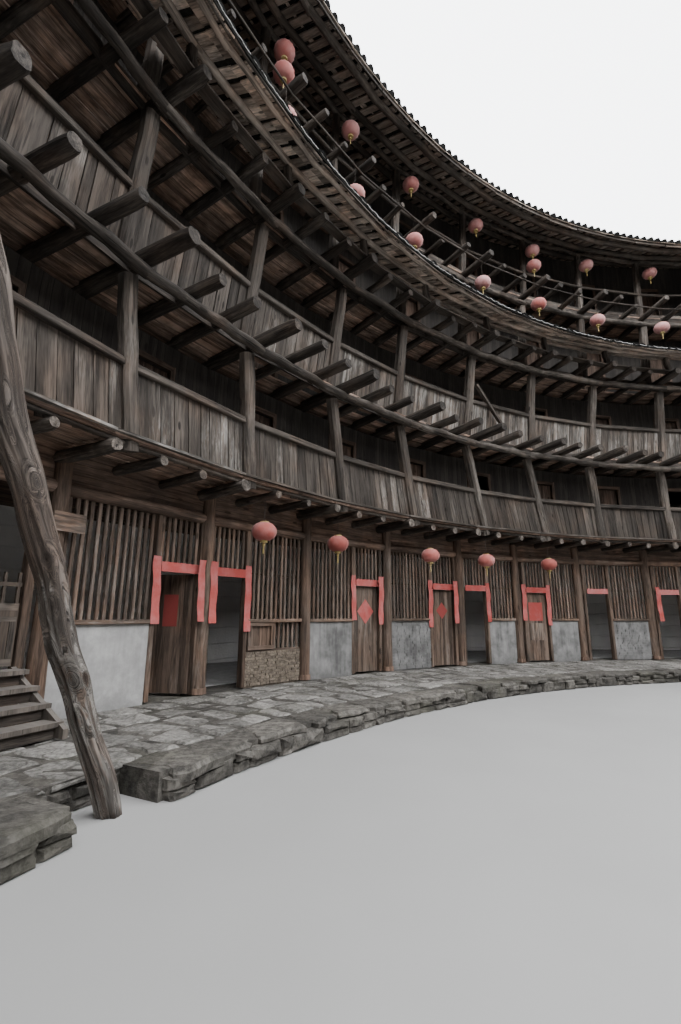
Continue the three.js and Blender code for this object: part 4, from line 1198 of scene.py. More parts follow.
class ROUNDHOUSE_OT_ground_front(Operator):
    """Build the ground floor's posts, door frames, lattices, low walls and paper strips."""

    bl_idname = "roundhouse.ground_front"
    bl_label = "Ground floor front"

    def execute(self, context):
        m, papers = Mesher(200), Mesher(201)
        post_half, jamb = angle_of(0.12, FRONT_R), angle_of(JAMB, FRONT_R)
        for k in FRONT:
            left, right = GROUND_POSTS[k], GROUND_POSTS[k + 1]
            ground_post(m, left)
            head_boards(m, left, right)
            if k in DOOR_STARTS:
                self.door_bay(m, papers, k, left + post_half, right - post_half, jamb)
            elif k == 20:
                window_bay(m, left + post_half, right, PALE)
            else:
                a0, a1, floor_z = STAIR_OPENING
                low_wall(m, PALE, a1 + jamb, right - post_half)
                window_bay(m, a1 + jamb, right - post_half, GREY)
                for a in (a0 - jamb / 2, a1 + jamb / 2):
                    m.upright(BAR_R, a, WALK_Z, LATTICE_TOP, eased(0.11, 0.15, 0.012), rings=3,
                              sway=0.003, tone=-1.1)
                add_plank_wall(m, a0, a1, WALK_Z, floor_z - 0.02)
        m.block(FRONT_R - 0.15, FRONT_R - 0.12, 150.85, 152.3, 2.67, 2.93, tone=2.3)
        ground_post(m, GROUND_POSTS[21])
        names = [f"ground_front_{i}" for i in range(1, 6)] + ["front_head_beam"]
        m.piece("ground_front_dressed", "door_timber", *FRONT_FINISHES, replaces=names)
        papers.piece("door_papers", "lantern_red", "Red paper")
        self.unseen(post_half, jamb)
        return {"FINISHED"}

    def door_bay(self, m, papers, k, left, right, jamb):
        """A doorway with its papers, and a window on its wider side."""
        j = m.draw
        door, end = DOOR_STARTS[k], DOOR_STARTS[k] + DOOR_SPAN
        before = k == 17 or (k != 18 and door - left > right - end)
        window = (left, door - jamb) if before else (end + jamb, right)
        window_bay(m, *window, LOW_WALLS[k], k in ROD_BAYS)
        door_frame(m, door, end)
        half, post_half = angle_of(0.055, FRONT_R), angle_of(0.12, FRONT_R)
        for side, wanted in zip((-1, 1), STRIPS.get(k, (1, 1))):
            if not wanted:
                continue
            a = door - half if side < 0 else end + half
            low, radius = j(1.28, 1.5), FRONT_R - 0.025
            if min(a - left, right - a) + post_half < 0.85:
                radius = POST_FRONT_R
                a += 0.3 if side < 0 else -0.08
            width = j(0.135, 0.16)
            paper(papers, a, low, DOOR_TOP + STRIP_LIFT, width, radius, j(-0.12, 0.12))
        papers.block(FRONT_R - 0.03, FRONT_R - 0.024, door + 0.08, end - 0.08, DOOR_TOP - 0.02,
                     DOOR_TOP + 0.14, steps=3, tone=1.4 if k in (11, 12) else papers.draw(-0.3, 0.6))

    def unseen(self, post_half, jamb):
        """The unseen bays repeat a lattice, a low wall and a closed door."""
        a0, a1 = post_half, 4.75
        door = (a1 + jamb, a1 + jamb + DOOR_SPAN)
        for arc, count, start in (("rear", 19, GATE_DEG + BAY / 2), ("west", 12, REAR_START)):
            wood, wall = Mesher(210), Mesher(211)
            ground_post(wood, 0.0)
            head_boards(wood, 0.0, BAY)
            window_bay(wood, a0, a1, sway=0.0, tone=None)
            door_frame(wood, *door)
            add_plank_wall(wood, *door, WALK_Z, DOOR_TOP, radius=FRONT_R + 0.09)
            wall.block(FACE_R, FRONT_R + FRONT_DEPTH, a0, a1, WALK_Z, SILL_Z - 0.05, tone=0.0, steps=3)
            wood.around(f"ground_{arc}_timber", "door_timber", "Door timber", count, start,
                        replaces=["ground_front_rear"] if arc == "rear" else [])
            wall.around(f"ground_{arc}_walls", "door_timber", "Grey plaster", count, start)


# Roofs


def slope_point(low, high, share, lift=0.0):
    """A point up a slope in (radius, height), lifted square to it."""
    dr, dz = high[0] - low[0], high[1] - low[1]
    lift /= math.copysign(math.hypot(dr, dz), dr)
    return low[0] + dr * share - dz * lift, low[1] + dz * share + dr * lift


def tile_column(m, eave, ridge, columns, course, crest, rise=0.1, pan=0.05):
    """One column of cover tiles over its pans, in stepped courses from eave to ridge."""
    half = 180.0 / columns
    count = max(1, round(math.hypot(ridge[0] - eave[0], ridge[1] - eave[1]) / course))
    cover, step = 0.075, 0.022
    arc = [(-1.0, 0.0), (-0.74, 0.68), (0.0, 1.0), (0.74, 0.68), (1.0, 0.0)]
    n = len(arc) + 4
    for i in range(count):
        points = []
        for share, raised in ((i / count, step), ((i + 1) / count, 0.0)):
            base = crest - rise + raised
            below, beside = (slope_point(eave, ridge, share, v) for v in (base - pan, base))
            points += [polar(r, -half, z) for r, z in (below, beside)]
            for x, y in arc:
                r, z = slope_point(eave, ridge, share, base + y * (rise - step))
                points.append(polar(r, angle_of(x * cover, r), z))
            points += [polar(r, half, z) for r, z in (beside, below)]
        a = np.arange(n)
        b = (a + 1) % n
        quads = np.column_stack((a, a + n, b + n, b))
        ends = np.concatenate((fan(n), fan(n)[:, ::-1] + n))
        if ridge[0] < eave[0]:
            quads, ends = quads[:, ::-1], ends[:, ::-1]
        near, far = ends[:n - 2], ends[n - 2:]
        tone = m.draw(-0.8, 0.8)
        if i:
            m.add(points, [quads, ends if i == count - 1 else near], points, tone)
        else:
            m.add(points, [quads, far], points, tone)
            # The eave end of the first course is painted dark: painted shade for the hollow under the cover
            # tile.
            m.add(points, [near], points, -3.5)


def rafters(name, low, high, drop, salt):
    """Flat rafters under a slope."""
    m = Mesher(salt)
    start, end = slope_point(low, high, 0.0, -drop), slope_point(low, high, 1.0, -drop)
    for i in range(4):
        a = 0.9 * i + m.draw(-0.1, 0.1)
        m.prism(polar(start[0], a, start[1]), polar(end[0], a, end[1]), rect(0.16, 0.04),
                rings=2, tone=m.draw(-0.6, 0.8))
    m.around(name, "floor_timber", "Roof timber", 100, step=3.6, slide=(0.02, 0.02, 0.004), swing=0.05)


def purlins(name, eave, ridge, drop, places, label, salt):
    """Round logs along the ring under a slope, lapped at each bay line."""
    m = Mesher(salt)
    slope = (ridge[1] - eave[1]) / (ridge[0] - eave[0])
    for radius, size in places:
        overlap = angle_of(0.1, radius)
        m.along(radius, -overlap, BAY + overlap, eave[1] + (radius - eave[0]) * slope - drop,
                circle(size, 9), rings=4, sway=0.014, taper=0.93, smooth=True)
    m.around(name, "floor_timber", label, slide=(0.015, 0.0, 0.008))


class ROUNDHOUSE_OT_main_roof(Operator):
    """Build the ring roof: tile columns on two slopes, ridge, rafters, purlins and eaves."""

    bl_idname = "roundhouse.main_roof"
    bl_label = "Ring roof"

    def execute(self, context):
        tiles_top = (RIDGE[0], RIDGE[1] - 0.04)
        deck = Mesher(300)
        section = []
        for lift, feet in ((-0.155, (EAVE, OUTER_EAVE)), (-0.14, (OUTER_EAVE, EAVE))):
            section += [slope_point(feet[0], tiles_top, 0.0, lift), (RIDGE[0], tiles_top[1] + 1.12 * lift),
                        slope_point(feet[1], tiles_top, 0.0, lift)]
        # The deck's raised tone lightens the roof's underside further: painted fill light.
        deck.sweep(section, whole_ring(2.0), tone=1.9, closed=True)
        deck.piece("roof_deck", "roof_tile", "Roof timber", replaces=both_arcs("main_roof"))
        for name, foot, columns in (
                ("roof_tiles_inner", EAVE, sizes().tile_columns_inner),
                ("roof_tiles_outer", OUTER_EAVE, sizes().tile_columns_outer)):
            m = Mesher(columns)
            tile_column(m, foot, tiles_top, columns, sizes().tile_course, -0.02)
            m.around(name, "roof_tile", "Clay tile", columns, step=360.0 / columns,
                     slide=(0.012, 0.0, 0.006), swing=0.02)
        cap = Mesher(301)
        arc = [(RIDGE[0] + 0.19 * math.cos(t), RIDGE[1] - 0.2 + 0.19 * math.sin(t))
               for t in np.linspace(-0.4, math.pi + 0.4, 8)]
        cap.sweep(arc, [0.0, 0.8], smooth=True)
        cap.sweep([(r, z + 0.008) for r, z in arc], [0.74, 0.86])
        cap.around("roof_ridge", "roof_tile", "Clay tile", 450, step=0.8)
        rafters("roof_rafters_inner", (EAVE[0] + 0.1, EAVE[1] + 0.05), RIDGE, 0.195, 302)
        rafters("roof_rafters_outer", (OUTER_EAVE[0] - 0.1, OUTER_EAVE[1] + 0.05), RIDGE, 0.195, 303)
        purlins("roof_purlins", EAVE, RIDGE, 0.36,
                [(r, 0.085) for r in (15.72, 16.45, 17.3, 18.4, 19.5)], "Old timber", 304)
        purlins("roof_purlins_outer", OUTER_EAVE, RIDGE, 0.36, [(24.4, 0.085), (23.6, 0.085)],
                "Old timber", 305)
        for name, foot, shift in (("eave_board", EAVE, 0.03), ("outer_eave_board", OUTER_EAVE, -0.05)):
            radius, height = slope_point(foot, RIDGE, 0.004, -0.17)
            board = Mesher(306)
            board.along(radius + shift, 0.05, 3.95, height - 0.02, rect(0.025, 0.11), rings=2, sway=0.006)
            board.around(name, "floor_timber", "Parapet boards", 90, step=4.0, slide=(0.01, 0, 0.01))
        return {"FINISHED"}


class ROUNDHOUSE_OT_skirt_roof(Operator):
    """Build the skirt roof: tiles, flat rafters, round purlins and their short stubs."""

    bl_idname = "roundhouse.skirt_roof"
    bl_label = "Skirt roof"

    def execute(self, context):
        eave, top = SKIRT_EAVE, SKIRT_TOP
        m = Mesher(400)
        m.sweep([slope_point(eave, top, share, lift) for share, lift in
                 ((0.0, -0.085), (1.0, -0.085), (1.0, -0.06), (0.0, -0.06))],
                whole_ring(2.0), tone=0.0, closed=True)
        m.piece("skirt_deck", "roof_tile", "Clay tile", replaces=both_arcs("skirt_roof"))
        m = Mesher(401)
        tile_column(m, eave, top, SKIRT_COLUMNS, 0.27, 0.01, rise=0.06, pan=0.015)
        m.around("skirt_tiles", "roof_tile", "Clay tile", SKIRT_COLUMNS, step=0.9,
                 slide=(0.02, 0.0, 0.012), swing=0.03)
        m = Mesher(402)
        j = m.draw
        cuts = [slope_point(eave, top, share, -0.1) for share in (0.02, 0.28, 0.6, 1.0)]
        for i in range(10):
            for start, end in zip(cuts, cuts[1:]):
                a = 0.9 * i + j(-0.12, 0.12)
                # The laths' tones run high, so most are paler: painted fill light on the skirt's underside.
                m.prism(polar(start[0], a, start[1]),
                        polar(end[0], a + j(-0.08, 0.08), end[1] - j(0.0, 0.012)),
                        rect(j(0.15, 0.22), 0.026), tone=j(-0.8, 3.4))
        m.around("skirt_laths", "floor_timber", "Roof timber", 40, step=9.0,
                 slide=(0.02, 0.02, 0.004), swing=0.1)
        purlins("skirt_purlins", eave, top, 0.19, ((15.5, 0.05), (STUB_R, 0.07), (16.6, 0.065)),
                "Roof timber", 403)
        self.foot(eave[1] + (STUB_R - eave[0]) * (top[1] - eave[1]) / (top[0] - eave[0]))
        m = Mesher(407)
        radius, height = slope_point(eave, top, 0.0, -0.05)
        for i in range(3):
            m.prism(polar(radius - 0.004, 0.3 * i - 0.02, height + 0.02 * (i == 1)),
                    polar(radius - 0.004, 0.3 * i + 0.32, height + 0.02 * (i == 0)),
                    rect(0.01, 0.012))
        m.around("skirt_eave_lime", "roof_tile", "Pale plaster", SKIRT_COLUMNS, step=0.9,
                 slide=(0.006, 0.0, 0.008))
        m = Mesher(405)
        radius, height = slope_point(eave, top, 0.01, -0.11)
        m.along(radius + 0.04, -0.1, 8.1, height, rect(0.03, 0.035), rings=4, sway=0.012, tone=0.2)
        m.around("skirt_eave_board", "floor_timber", "Old timber", slide=(0.01, 0, 0.008))
        return {"FINISHED"}

    def foot(self, purlin_z):
        """The planks on the joists' ends and the stubs that stand on them."""
        floor_z = FLOORS["4f"].top
        m = Mesher(406)
        m.along(STUB_R, -0.4, BAY + 0.3, floor_z - 0.005, rect(0.2, 0.035), rings=4, sway=0.006, tone=-1.2)
        m.around("skirt_foot_planks", "floor_timber", "Parapet boards", slide=(0.03, 0.0, 0.008), swing=0.2)
        m = Mesher(404)
        m.prism(polar(STUB_R, 0.0, floor_z - 0.03), polar(STUB_R, 0.25, purlin_z - 0.27),
                eased(0.15, 0.13, 0.02), up=(1, 0, 0), rings=3, sway=0.01, taper=0.92)
        m.around("skirt_stubs", "floor_timber", "Old timber", slide=(0.01, 0.03, 0.0),
                 swing=0.2, replaces=both_arcs("skirt_purlin"))


# Stone


def rock(m, face, back, a0, a1, z0, z1, bulge):
    """A rough stone in a wall between two radii; its bulging face looks away from back."""
    j = m.draw
    out = 1 if face > back else -1
    shares = ((0, 0), (0.5, 0), (1, 0), (1, 0.5), (1, 1), (0.5, 1), (0, 1), (0, 0.5))
    places = [(a0 + (a1 - a0) * (x + j(-0.06, 0.06)), z0 + (z1 - z0) * (y + j(-0.08, 0.08)))
              for x, y in shares]
    places = [(a, max(z, 0.0)) for a, z in places]
    middle = ((a0 + a1) / 2, (z0 + z1) / 2)
    inset = j(0.12, 0.26)
    near = [(a + (middle[0] - a) * inset, z + (middle[1] - z) * inset) for a, z in places]
    points = [polar(back, *p) for p in places]
    points += [polar(face - out * j(0.025, 0.05), *p) for p in places]
    points += [polar(face + out * j(-0.01, 0.02), *p) for p in near]
    points.append(polar(face + out * bulge, middle[0] + j(-0.1, 0.1) * (a1 - a0), middle[1]))
    i = np.arange(8)
    k = (i + 1) % 8
    quads = tube(2, 8)
    front = np.column_stack((i + 16, k + 16, np.full(8, 24)))
    tris = np.concatenate((front, fan(8)[:, (0, 2, 1)]))
    if out < 0:
        quads, tris = quads[:, ::-1], tris[:, ::-1]
    m.add(points, [quads, tris], points, m.draw(-1, 0.8))


def course_line(radius, sway, salt):
    """A wavy line of joints around the court: its radius at any angle."""
    def at(degrees):
        t = math.radians(degrees)
        return radius + sway * (math.sin(t * 23 + salt) + 0.7 * math.sin(t * 61 + salt * 3)
                                + 0.4 * math.sin(t * 149 + salt * 7))
    return at


def slab(m, inner, outer, left, right, z0, z1, rough):
    """A worn, hollowed slab between two course lines and two joints, each an angle and a skew."""
    j = m.draw
    steps = max(2, round(math.radians(right[0] - left[0]) * 16 / 0.2))
    rows, gap = 3, 0.05
    ease = j(0.02, 0.045)
    ragged = angle_of(rough * 1.4, 16.0)
    grid = np.empty((steps + 1, rows + 1, 3))
    for i in range(steps + 1):
        for v in range(rows + 1):
            a = left[0] + gap + (right[0] - left[0] - 2 * gap) * i / steps
            skew = left[1] + (right[1] - left[1]) * i / steps
            low, high = inner(a) + 0.012, outer(a) - 0.012
            r = low + (high - low) * v / rows + (j(0, rough) if v == 0 else j(-0.015, 0.0))
            if i in (0, steps):
                a += (1 if i == 0 else -1) * j(0.0, ragged)
            rim = i in (0, steps) or v in (0, rows)
            rim_sag, sag = j(0.0, 0.016), j(0.0, 0.012)
            grid[i, v] = (r, a + skew * (1 - 2 * v / rows), z1 - (rim_sag if rim else sag))
    edge = [(i, 0) for i in range(steps)] + [(steps, v) for v in range(rows)]
    edge += [(i, rows) for i in range(steps, 0, -1)] + [(0, v) for v in range(rows, 0, -1)]
    outline = np.array([grid[i, v] for i, v in edge])
    centre = outline.mean(axis=0)
    for i, v in edge:
        grid[i, v, 0] += math.copysign(ease, centre[0] - grid[i, v, 0])
        grid[i, v, 1] += math.copysign(angle_of(ease, 16.0), centre[1] - grid[i, v, 1])
    n = len(edge)
    points = [polar(*p) for p in grid.reshape(-1, 3)]
    points += [polar(r, a, z - ease * 0.9) for r, a, z in outline]
    points += [polar(r, a, z0) for r, a, _ in outline]
    number = np.array([i * (rows + 1) + v for i, v in edge])
    total = (steps + 1) * (rows + 1)
    i, v = np.divmod(np.arange(steps * rows), rows)
    at = i * (rows + 1) + v
    top = np.column_stack((at, at + 1, at + rows + 2, at + rows + 1))
    k = np.arange(n)
    after = (k + 1) % n
    worn = np.column_stack((k + total, number[k], number[after], after + total))
    sides = np.column_stack((k + total + n, k + total, after + total, after + total + n))
    m.add(points, [np.concatenate((top, worn, sides)), fan(n) + total + n], points, m.any_tone())


class ROUNDHOUSE_OT_walkway(Operator):
    """Build the stone walkway: worn slabs, and a kerb of long slabs over rubble."""

    bl_idname = "roundhouse.walkway"
    bl_label = "Stone walkway"

    def execute(self, context):
        start, stop, recess_r = PROP_RECESS
        high = WALK_Z - 0.03
        bed = Mesher(500)
        bed.block(recess_r + 0.04, ROOM_END_R, 0, 2.0, 0.0, high, tone=-0.6, closed=True)
        bed.block(KERB_R + 0.16, recess_r + 0.05, stop, start + 360, 0.0, high - 0.004,
                  tone=-0.6, steps=179)
        bed.piece("walkway_bed", "walkway_stone", "Rubble stone", replaces=both_arcs("stone_walkway"))
        # The room floor is pale plaster, paler than the bed: partly its own colour, partly painted light
        # for the dim rooms.
        rooms = Mesher(503)
        rooms.block(18.7, ROOM_END_R, 0, 2.0, high - 0.01, high + 0.02, tone=0.0, closed=True)
        rooms.piece("room_floor", "walkway_stone", "Pale plaster")
        slabs, kerb = Mesher(501), Mesher(502)
        j = slabs.draw
        radii = (KERB_R - 0.01, recess_r, 16.2, 16.85, 17.4, 17.94)
        lines = [course_line(r, 0.02 if r in (radii[0], radii[-1]) else 0.045, n)
                 for n, r in enumerate(radii)]
        for number, (inner, outer) in enumerate(zip(lines, lines[1:])):
            edge = number == 0
            begin, end = (stop, start + 360) if edge else (0.0, 360.0)
            length = 0.7 if edge else 0.55
            joints = [(begin, 0.0)]
            while joints[-1][0] < end - angle_of(length * 0.9, radii[number]):
                step = angle_of(length * j(0.55, 1.5), radii[number])
                joints.append((joints[-1][0] + step, j(-0.18, 0.18)))
            joints[-1] = (end, 0.0)
            for left, right in zip(joints, joints[1:]):
                top = WALK_Z - j(0.0, 0.022)
                slab(kerb if edge else slabs, inner, outer, left, right,
                     top - (j(0.06, 0.12) if edge else 0.05), top, 0.1 if edge else 0.03)
        slabs.piece("walkway_slabs", "walkway_stone", "Worn paving")
        self.rubble(kerb, KERB_R + 0.035, KERB_R + 0.3, stop, start + 360)
        self.rubble(kerb, recess_r + 0.01, recess_r + 0.2, start, stop)
        kerb.piece("kerb_stones", "walkway_stone", "Rubble stone")
        return {"FINISHED"}

    def rubble(self, m, face, back, start, stop):
        """Rough stones under the kerb's slabs, some one course high and some two."""
        j = m.draw
        top = WALK_Z - 0.09
        a = start
        while a < stop - 0.3:
            step = min(angle_of(j(0.2, 0.62), face), stop - a)
            cuts = [0.0, top] if m.random.random() < 0.4 else [0.0, top * j(0.38, 0.62), top]
            for z0, z1 in zip(cuts, cuts[1:]):
                rock(m, face + j(-0.02, 0.035), back, a + 0.03, a + step - 0.03, z0, z1, j(0.0, 0.035))
            a += step


class ROUNDHOUSE_OT_outer_wall(Operator):
    """Finish the rammed-earth wall: earth, stone footing, window frames and the gateway."""

    bl_idname = "roundhouse.outer_wall"
    bl_label = "Outer wall"

    def execute(self, context):
        for name in ("south", "east", "north", "west"):
            finish_node(f"outer_wall_{name}", "Rammed earth")
        m = Mesher(600)
        for k in range(0, BAYS, 3):
            middle = (k + 0.5) * BAY
            for low, high in ((9.9, 10.9), (12.3, 13.2)):
                face = FACET * (WALL_FOOT_R - (WALL_FOOT_R - WALL_HEAD_R) * low / WALL_TOP)
                half = angle_of(0.3, face)
                for z in (low + 0.03, high - 0.03):
                    m.along(face - 0.12, middle - half, middle + half, z, rect(0.2, 0.06), rings=2)
                for a in (middle - half, middle, middle + half):
                    m.upright(face - 0.12, a, low + 0.06, high - 0.06, rect(0.06, 0.1))
                for i in range(6):
                    m.upright(face - 0.13, middle + half * (i - 2.5) / 3, low + 0.06,
                              high - 0.06, rect(0.03, 0.03))
        for side in (-1, 1):
            a = GATE_DEG + side * GATE_HALF
            inner = a - side * angle_of(0.09, 23.0)
            m.prism(polar(GATE_R, inner, 0.0), polar(GATE_R, inner, 2.98), rect(0.18, 1.1),
                    up=polar(1, a, 0), finish=1, tone=0.4)
        m.along(GATE_R, GATE_DEG - GATE_HALF, GATE_DEG + GATE_HALF, 2.9, rect(1.1, 0.2), finish=1, tone=0.2)
        m.piece("outer_windows", "door_timber", "Door timber", "Worn paving")
        footing = Mesher(601)
        self.footing(footing)
        footing.piece("wall_footing", "walkway_stone", "Rubble stone")
        return {"FINISHED"}

    def footing(self, m):
        """Courses of rubble that face the wall's foot, left out at the gateway."""
        j = m.draw
        for row in range(5):
            z0, z1 = 0.22 * row, 0.22 * (row + 1)
            a = GATE_DEG + 2.55 + (0.3 if row % 2 else 0.0)
            stop = GATE_DEG + 357.45
            while a < stop - 0.3:
                step = min(angle_of(j(0.28, 0.62), WALL_FOOT_R), stop - a)
                off = ((a + step / 2) % BAY) - BAY / 2
                face = (WALL_FOOT_R - 0.05 * z1) * FACET / math.cos(math.radians(off))
                rock(m, face + j(0.015, 0.04), face - 0.22, a + 0.03, a + step - 0.03,
                     z0 + 0.01, z1 - 0.008, j(0.02, 0.045))
                a += step


class ROUNDHOUSE_OT_rooms(Operator):
    """Finish the room fronts behind the galleries and hang their doors."""

    bl_idname = "roundhouse.rooms"
    bl_label = "Room fronts"

    def execute(self, context):
        m = Mesher(700)
        half = angle_of(DOOR_WIDTH / 2, FRONT_R)
        for level, floor in FLOORS.items():
            for name in both_arcs(f"room_front_{level}"):
                finish_node(name, "Room boards")
            low, high = floor.top, floor.top + 1.85
            for k in range(BAYS):
                a0, a1 = (k + 0.5) * BAY - half, (k + 0.5) * BAY + half
                if k in FRONT and m.random.random() < 0.8:
                    add_plank_wall(m, a0, a1, low + 0.02, high, FRONT_R + 0.08, -2.0)
                for a in (a0, a1):
                    m.upright(FRONT_R - 0.02, a, low, high + 0.1, rect(0.09, 0.05), tone=-1.6)
                m.along(FRONT_R - 0.02, a0, a1, high + 0.05, rect(0.05, 0.1), tone=-1.6)
        m.piece("gallery_doors", "room_boards", "Shaded timber")
        return {"FINISHED"}


# Doors, stair and gate


def leaf_axes(points):
    """A flat leaf's level axis, and the level direction square to it that faces the court."""
    level = points[:, :2]
    centre = level.mean(axis=0)
    values, vectors = np.linalg.eigh(np.cov((level - centre).T))
    along = vectors[:, values.argmax()]
    square = np.array((-along[1], along[0]))
    if centre @ square > 0:
        square = -square
    return np.append(along, 0.0), np.append(square, 0.0)


# Half width, half height, height of the middle, set on its point, tone; the low tones on doors 1 and 4
# darken their papers as painted shade
DOOR_PAPERS = {1: (0.13, 0.27, 1.66, False, -2.2), 3: (0.26, 0.29, 1.68, True, 0.2),
               4: (0.2, 0.22, 1.72, True, -1.8), 6: (0.25, 0.27, 1.72, False, -0.6)}


class ROUNDHOUSE_OT_doors(Operator):
    """Finish the hinged leaves: planks, battens and plain red papers."""

    bl_idname = "roundhouse.doors"
    bl_label = "Doors"

    def execute(self, context):
        for number, sheet in DOOR_PAPERS.items():
            self.leaf(number, *sheet)
        return {"FINISHED"}

    def leaf(self, number, half_width, half_height, height, diamond, tone):
        name = f"door_{number}"
        points = np.array([v.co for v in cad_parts[name + "_leaf"].data.vertices])
        along, square = leaf_axes(points)
        big = points[points[:, 2] > 0.3]
        (a0, a1), (d0, d1) = (((big @ axis).min() / SCALE, (big @ axis).max() / SCALE)
                              for axis in (along, square))
        low, high, planks = 0.3, 2.278, 5
        m, papers = Mesher(800 + number), Mesher(820 + number)
        width = (a1 - a0) / planks
        for i in range(planks):
            centre = along * (a0 + width * (i + 0.5)) + square * (d0 + d1) / 2
            # Door 1's leaf is darker: painted shade of the recess it stands in.
            m.prism(centre + (0, 0, low), centre + (0, 0, high), rect(width - 0.006, d1 - d0),
                    up=square, tone=m.draw(-0.3, 0.4) - 0.7 * (number == 1))
        pin = np.append(points[points[:, 2] < 0.16][:, :2].mean(axis=0) / SCALE, 0.0)
        m.prism(pin + (0, 0, WALK_Z + 0.002), pin + (0, 0, low + 0.02), circle(0.018, 8), tone=-0.5)
        middle = along * (a0 + a1) / 2
        self.sheet(papers, middle + square * (d1 + 0.004) + (0, 0, height),
                   along * half_width, np.array((0.0, 0.0, half_height)), diamond, tone)
        if number == 6:
            for i in range(5):
                place = middle + along * 0.11 * (i - 2) + square * (d1 + 0.006)
                m.prism(place + (0, 0, 0.88), place + (0, 0, 1.38), rect(0.1, 0.012),
                        up=square, tone=m.draw(0.9, 1.5))
        m.piece(name + "_planks", "door_timber", "Door timber", body=name, replaces=[name + "_leaf"])
        papers.piece(name + "_paper", "lantern_red", "Red paper", body=name)

    def sheet(self, m, centre, across, up, diamond, tone):
        """A plain sheet of paper, set on its point where diamond is true."""
        corners = [-across - up, across - up, across + up, up - across]
        if diamond:
            corners = [-across, -up, across, up]
        near = [centre + c for c in corners]
        far = [p + unit(np.cross(across, up)) * 0.004 for p in near]
        quads = np.array([[0, 1, 2, 3], [7, 6, 5, 4], [0, 4, 5, 1], [1, 5, 6, 2],
                          [2, 6, 7, 3], [3, 7, 4, 0]])
        m.add(near + far, [quads], near + far, tone)


class ROUNDHOUSE_OT_stair(Operator):
    """Finish the stair up to the half gate."""

    bl_idname = "roundhouse.stair"
    bl_label = "Stair and gate"

    def execute(self, context):
        finish_node("stair_flight", "Stair planks")
        finish_node("stair_gate", "Gate planks")
        a0, a1, floor_z = STAIR_OPENING
        middle = (a0 + a1) / 2
        m = Mesher(850)
        half = math.radians(a1 - a0) * 17.5 / 2 - 0.065
        rise = (floor_z - WALK_Z) / STAIR_RISERS
        for i in range(STAIR_RISERS):
            self.across(m, middle, FRONT_R * FACET - 0.93 + STAIR_TREAD * i, half,
                        WALK_Z + (i + 0.5) * rise - 0.03, rect(0.02, rise - 0.055), m.draw(-0.9, -0.3))
        m.piece("stair_risers", "stair_timber", "Old timber")
        m = Mesher(851)
        half = math.radians(a1 - a0) * FRONT_R / 2 - 0.04
        face = FRONT_R + FRONT_DEPTH / 2 - 0.031
        for z, high in ((1.675, 0.085), (1.53, 0.06), (1.02, 0.09)):
            self.across(m, middle, face, half, z, rect(0.012, high), 0.3)
        for side in (-1, 1):
            a = middle + side * angle_of(half - 0.04, face)
            m.prism(polar(face, a, 1.065), polar(face, a, 1.5), rect(0.07, 0.012),
                    up=polar(1, middle, 0), tone=0.0)
        m.piece("gate_frame", "stair_timber", "Old timber", body="gate")
        return {"FINISHED"}

    def across(self, m, middle, radius, half, height, outline, tone):
        """A level bar square to the stair's own direction."""
        centre, reach = polar(radius, middle, height), polar(half, middle + 90, 0.0)
        m.prism(centre - reach, centre + reach, outline, tone=tone)


PROP_FOOT, PROP_HEAD = (15.31, 154.95, 0.0), (16.22, 160.9, 6.2)
# The turn about the prop's axis that faces the middle of the court
FACING = -0.15
# Share of the prop's length, turn and weight of the knots that face the court
PROP_KNOTS = [(0.132, FACING - 0.7, 1.1), (0.173, FACING + 0.65, 1.7), (0.22, FACING - 1.2, 1.2),
              (0.27, FACING - 0.3, 0.9), (0.325, FACING, 1.4), (0.42, FACING + 0.5, 0.9),
              (0.53, FACING - 0.4, 1.0)]


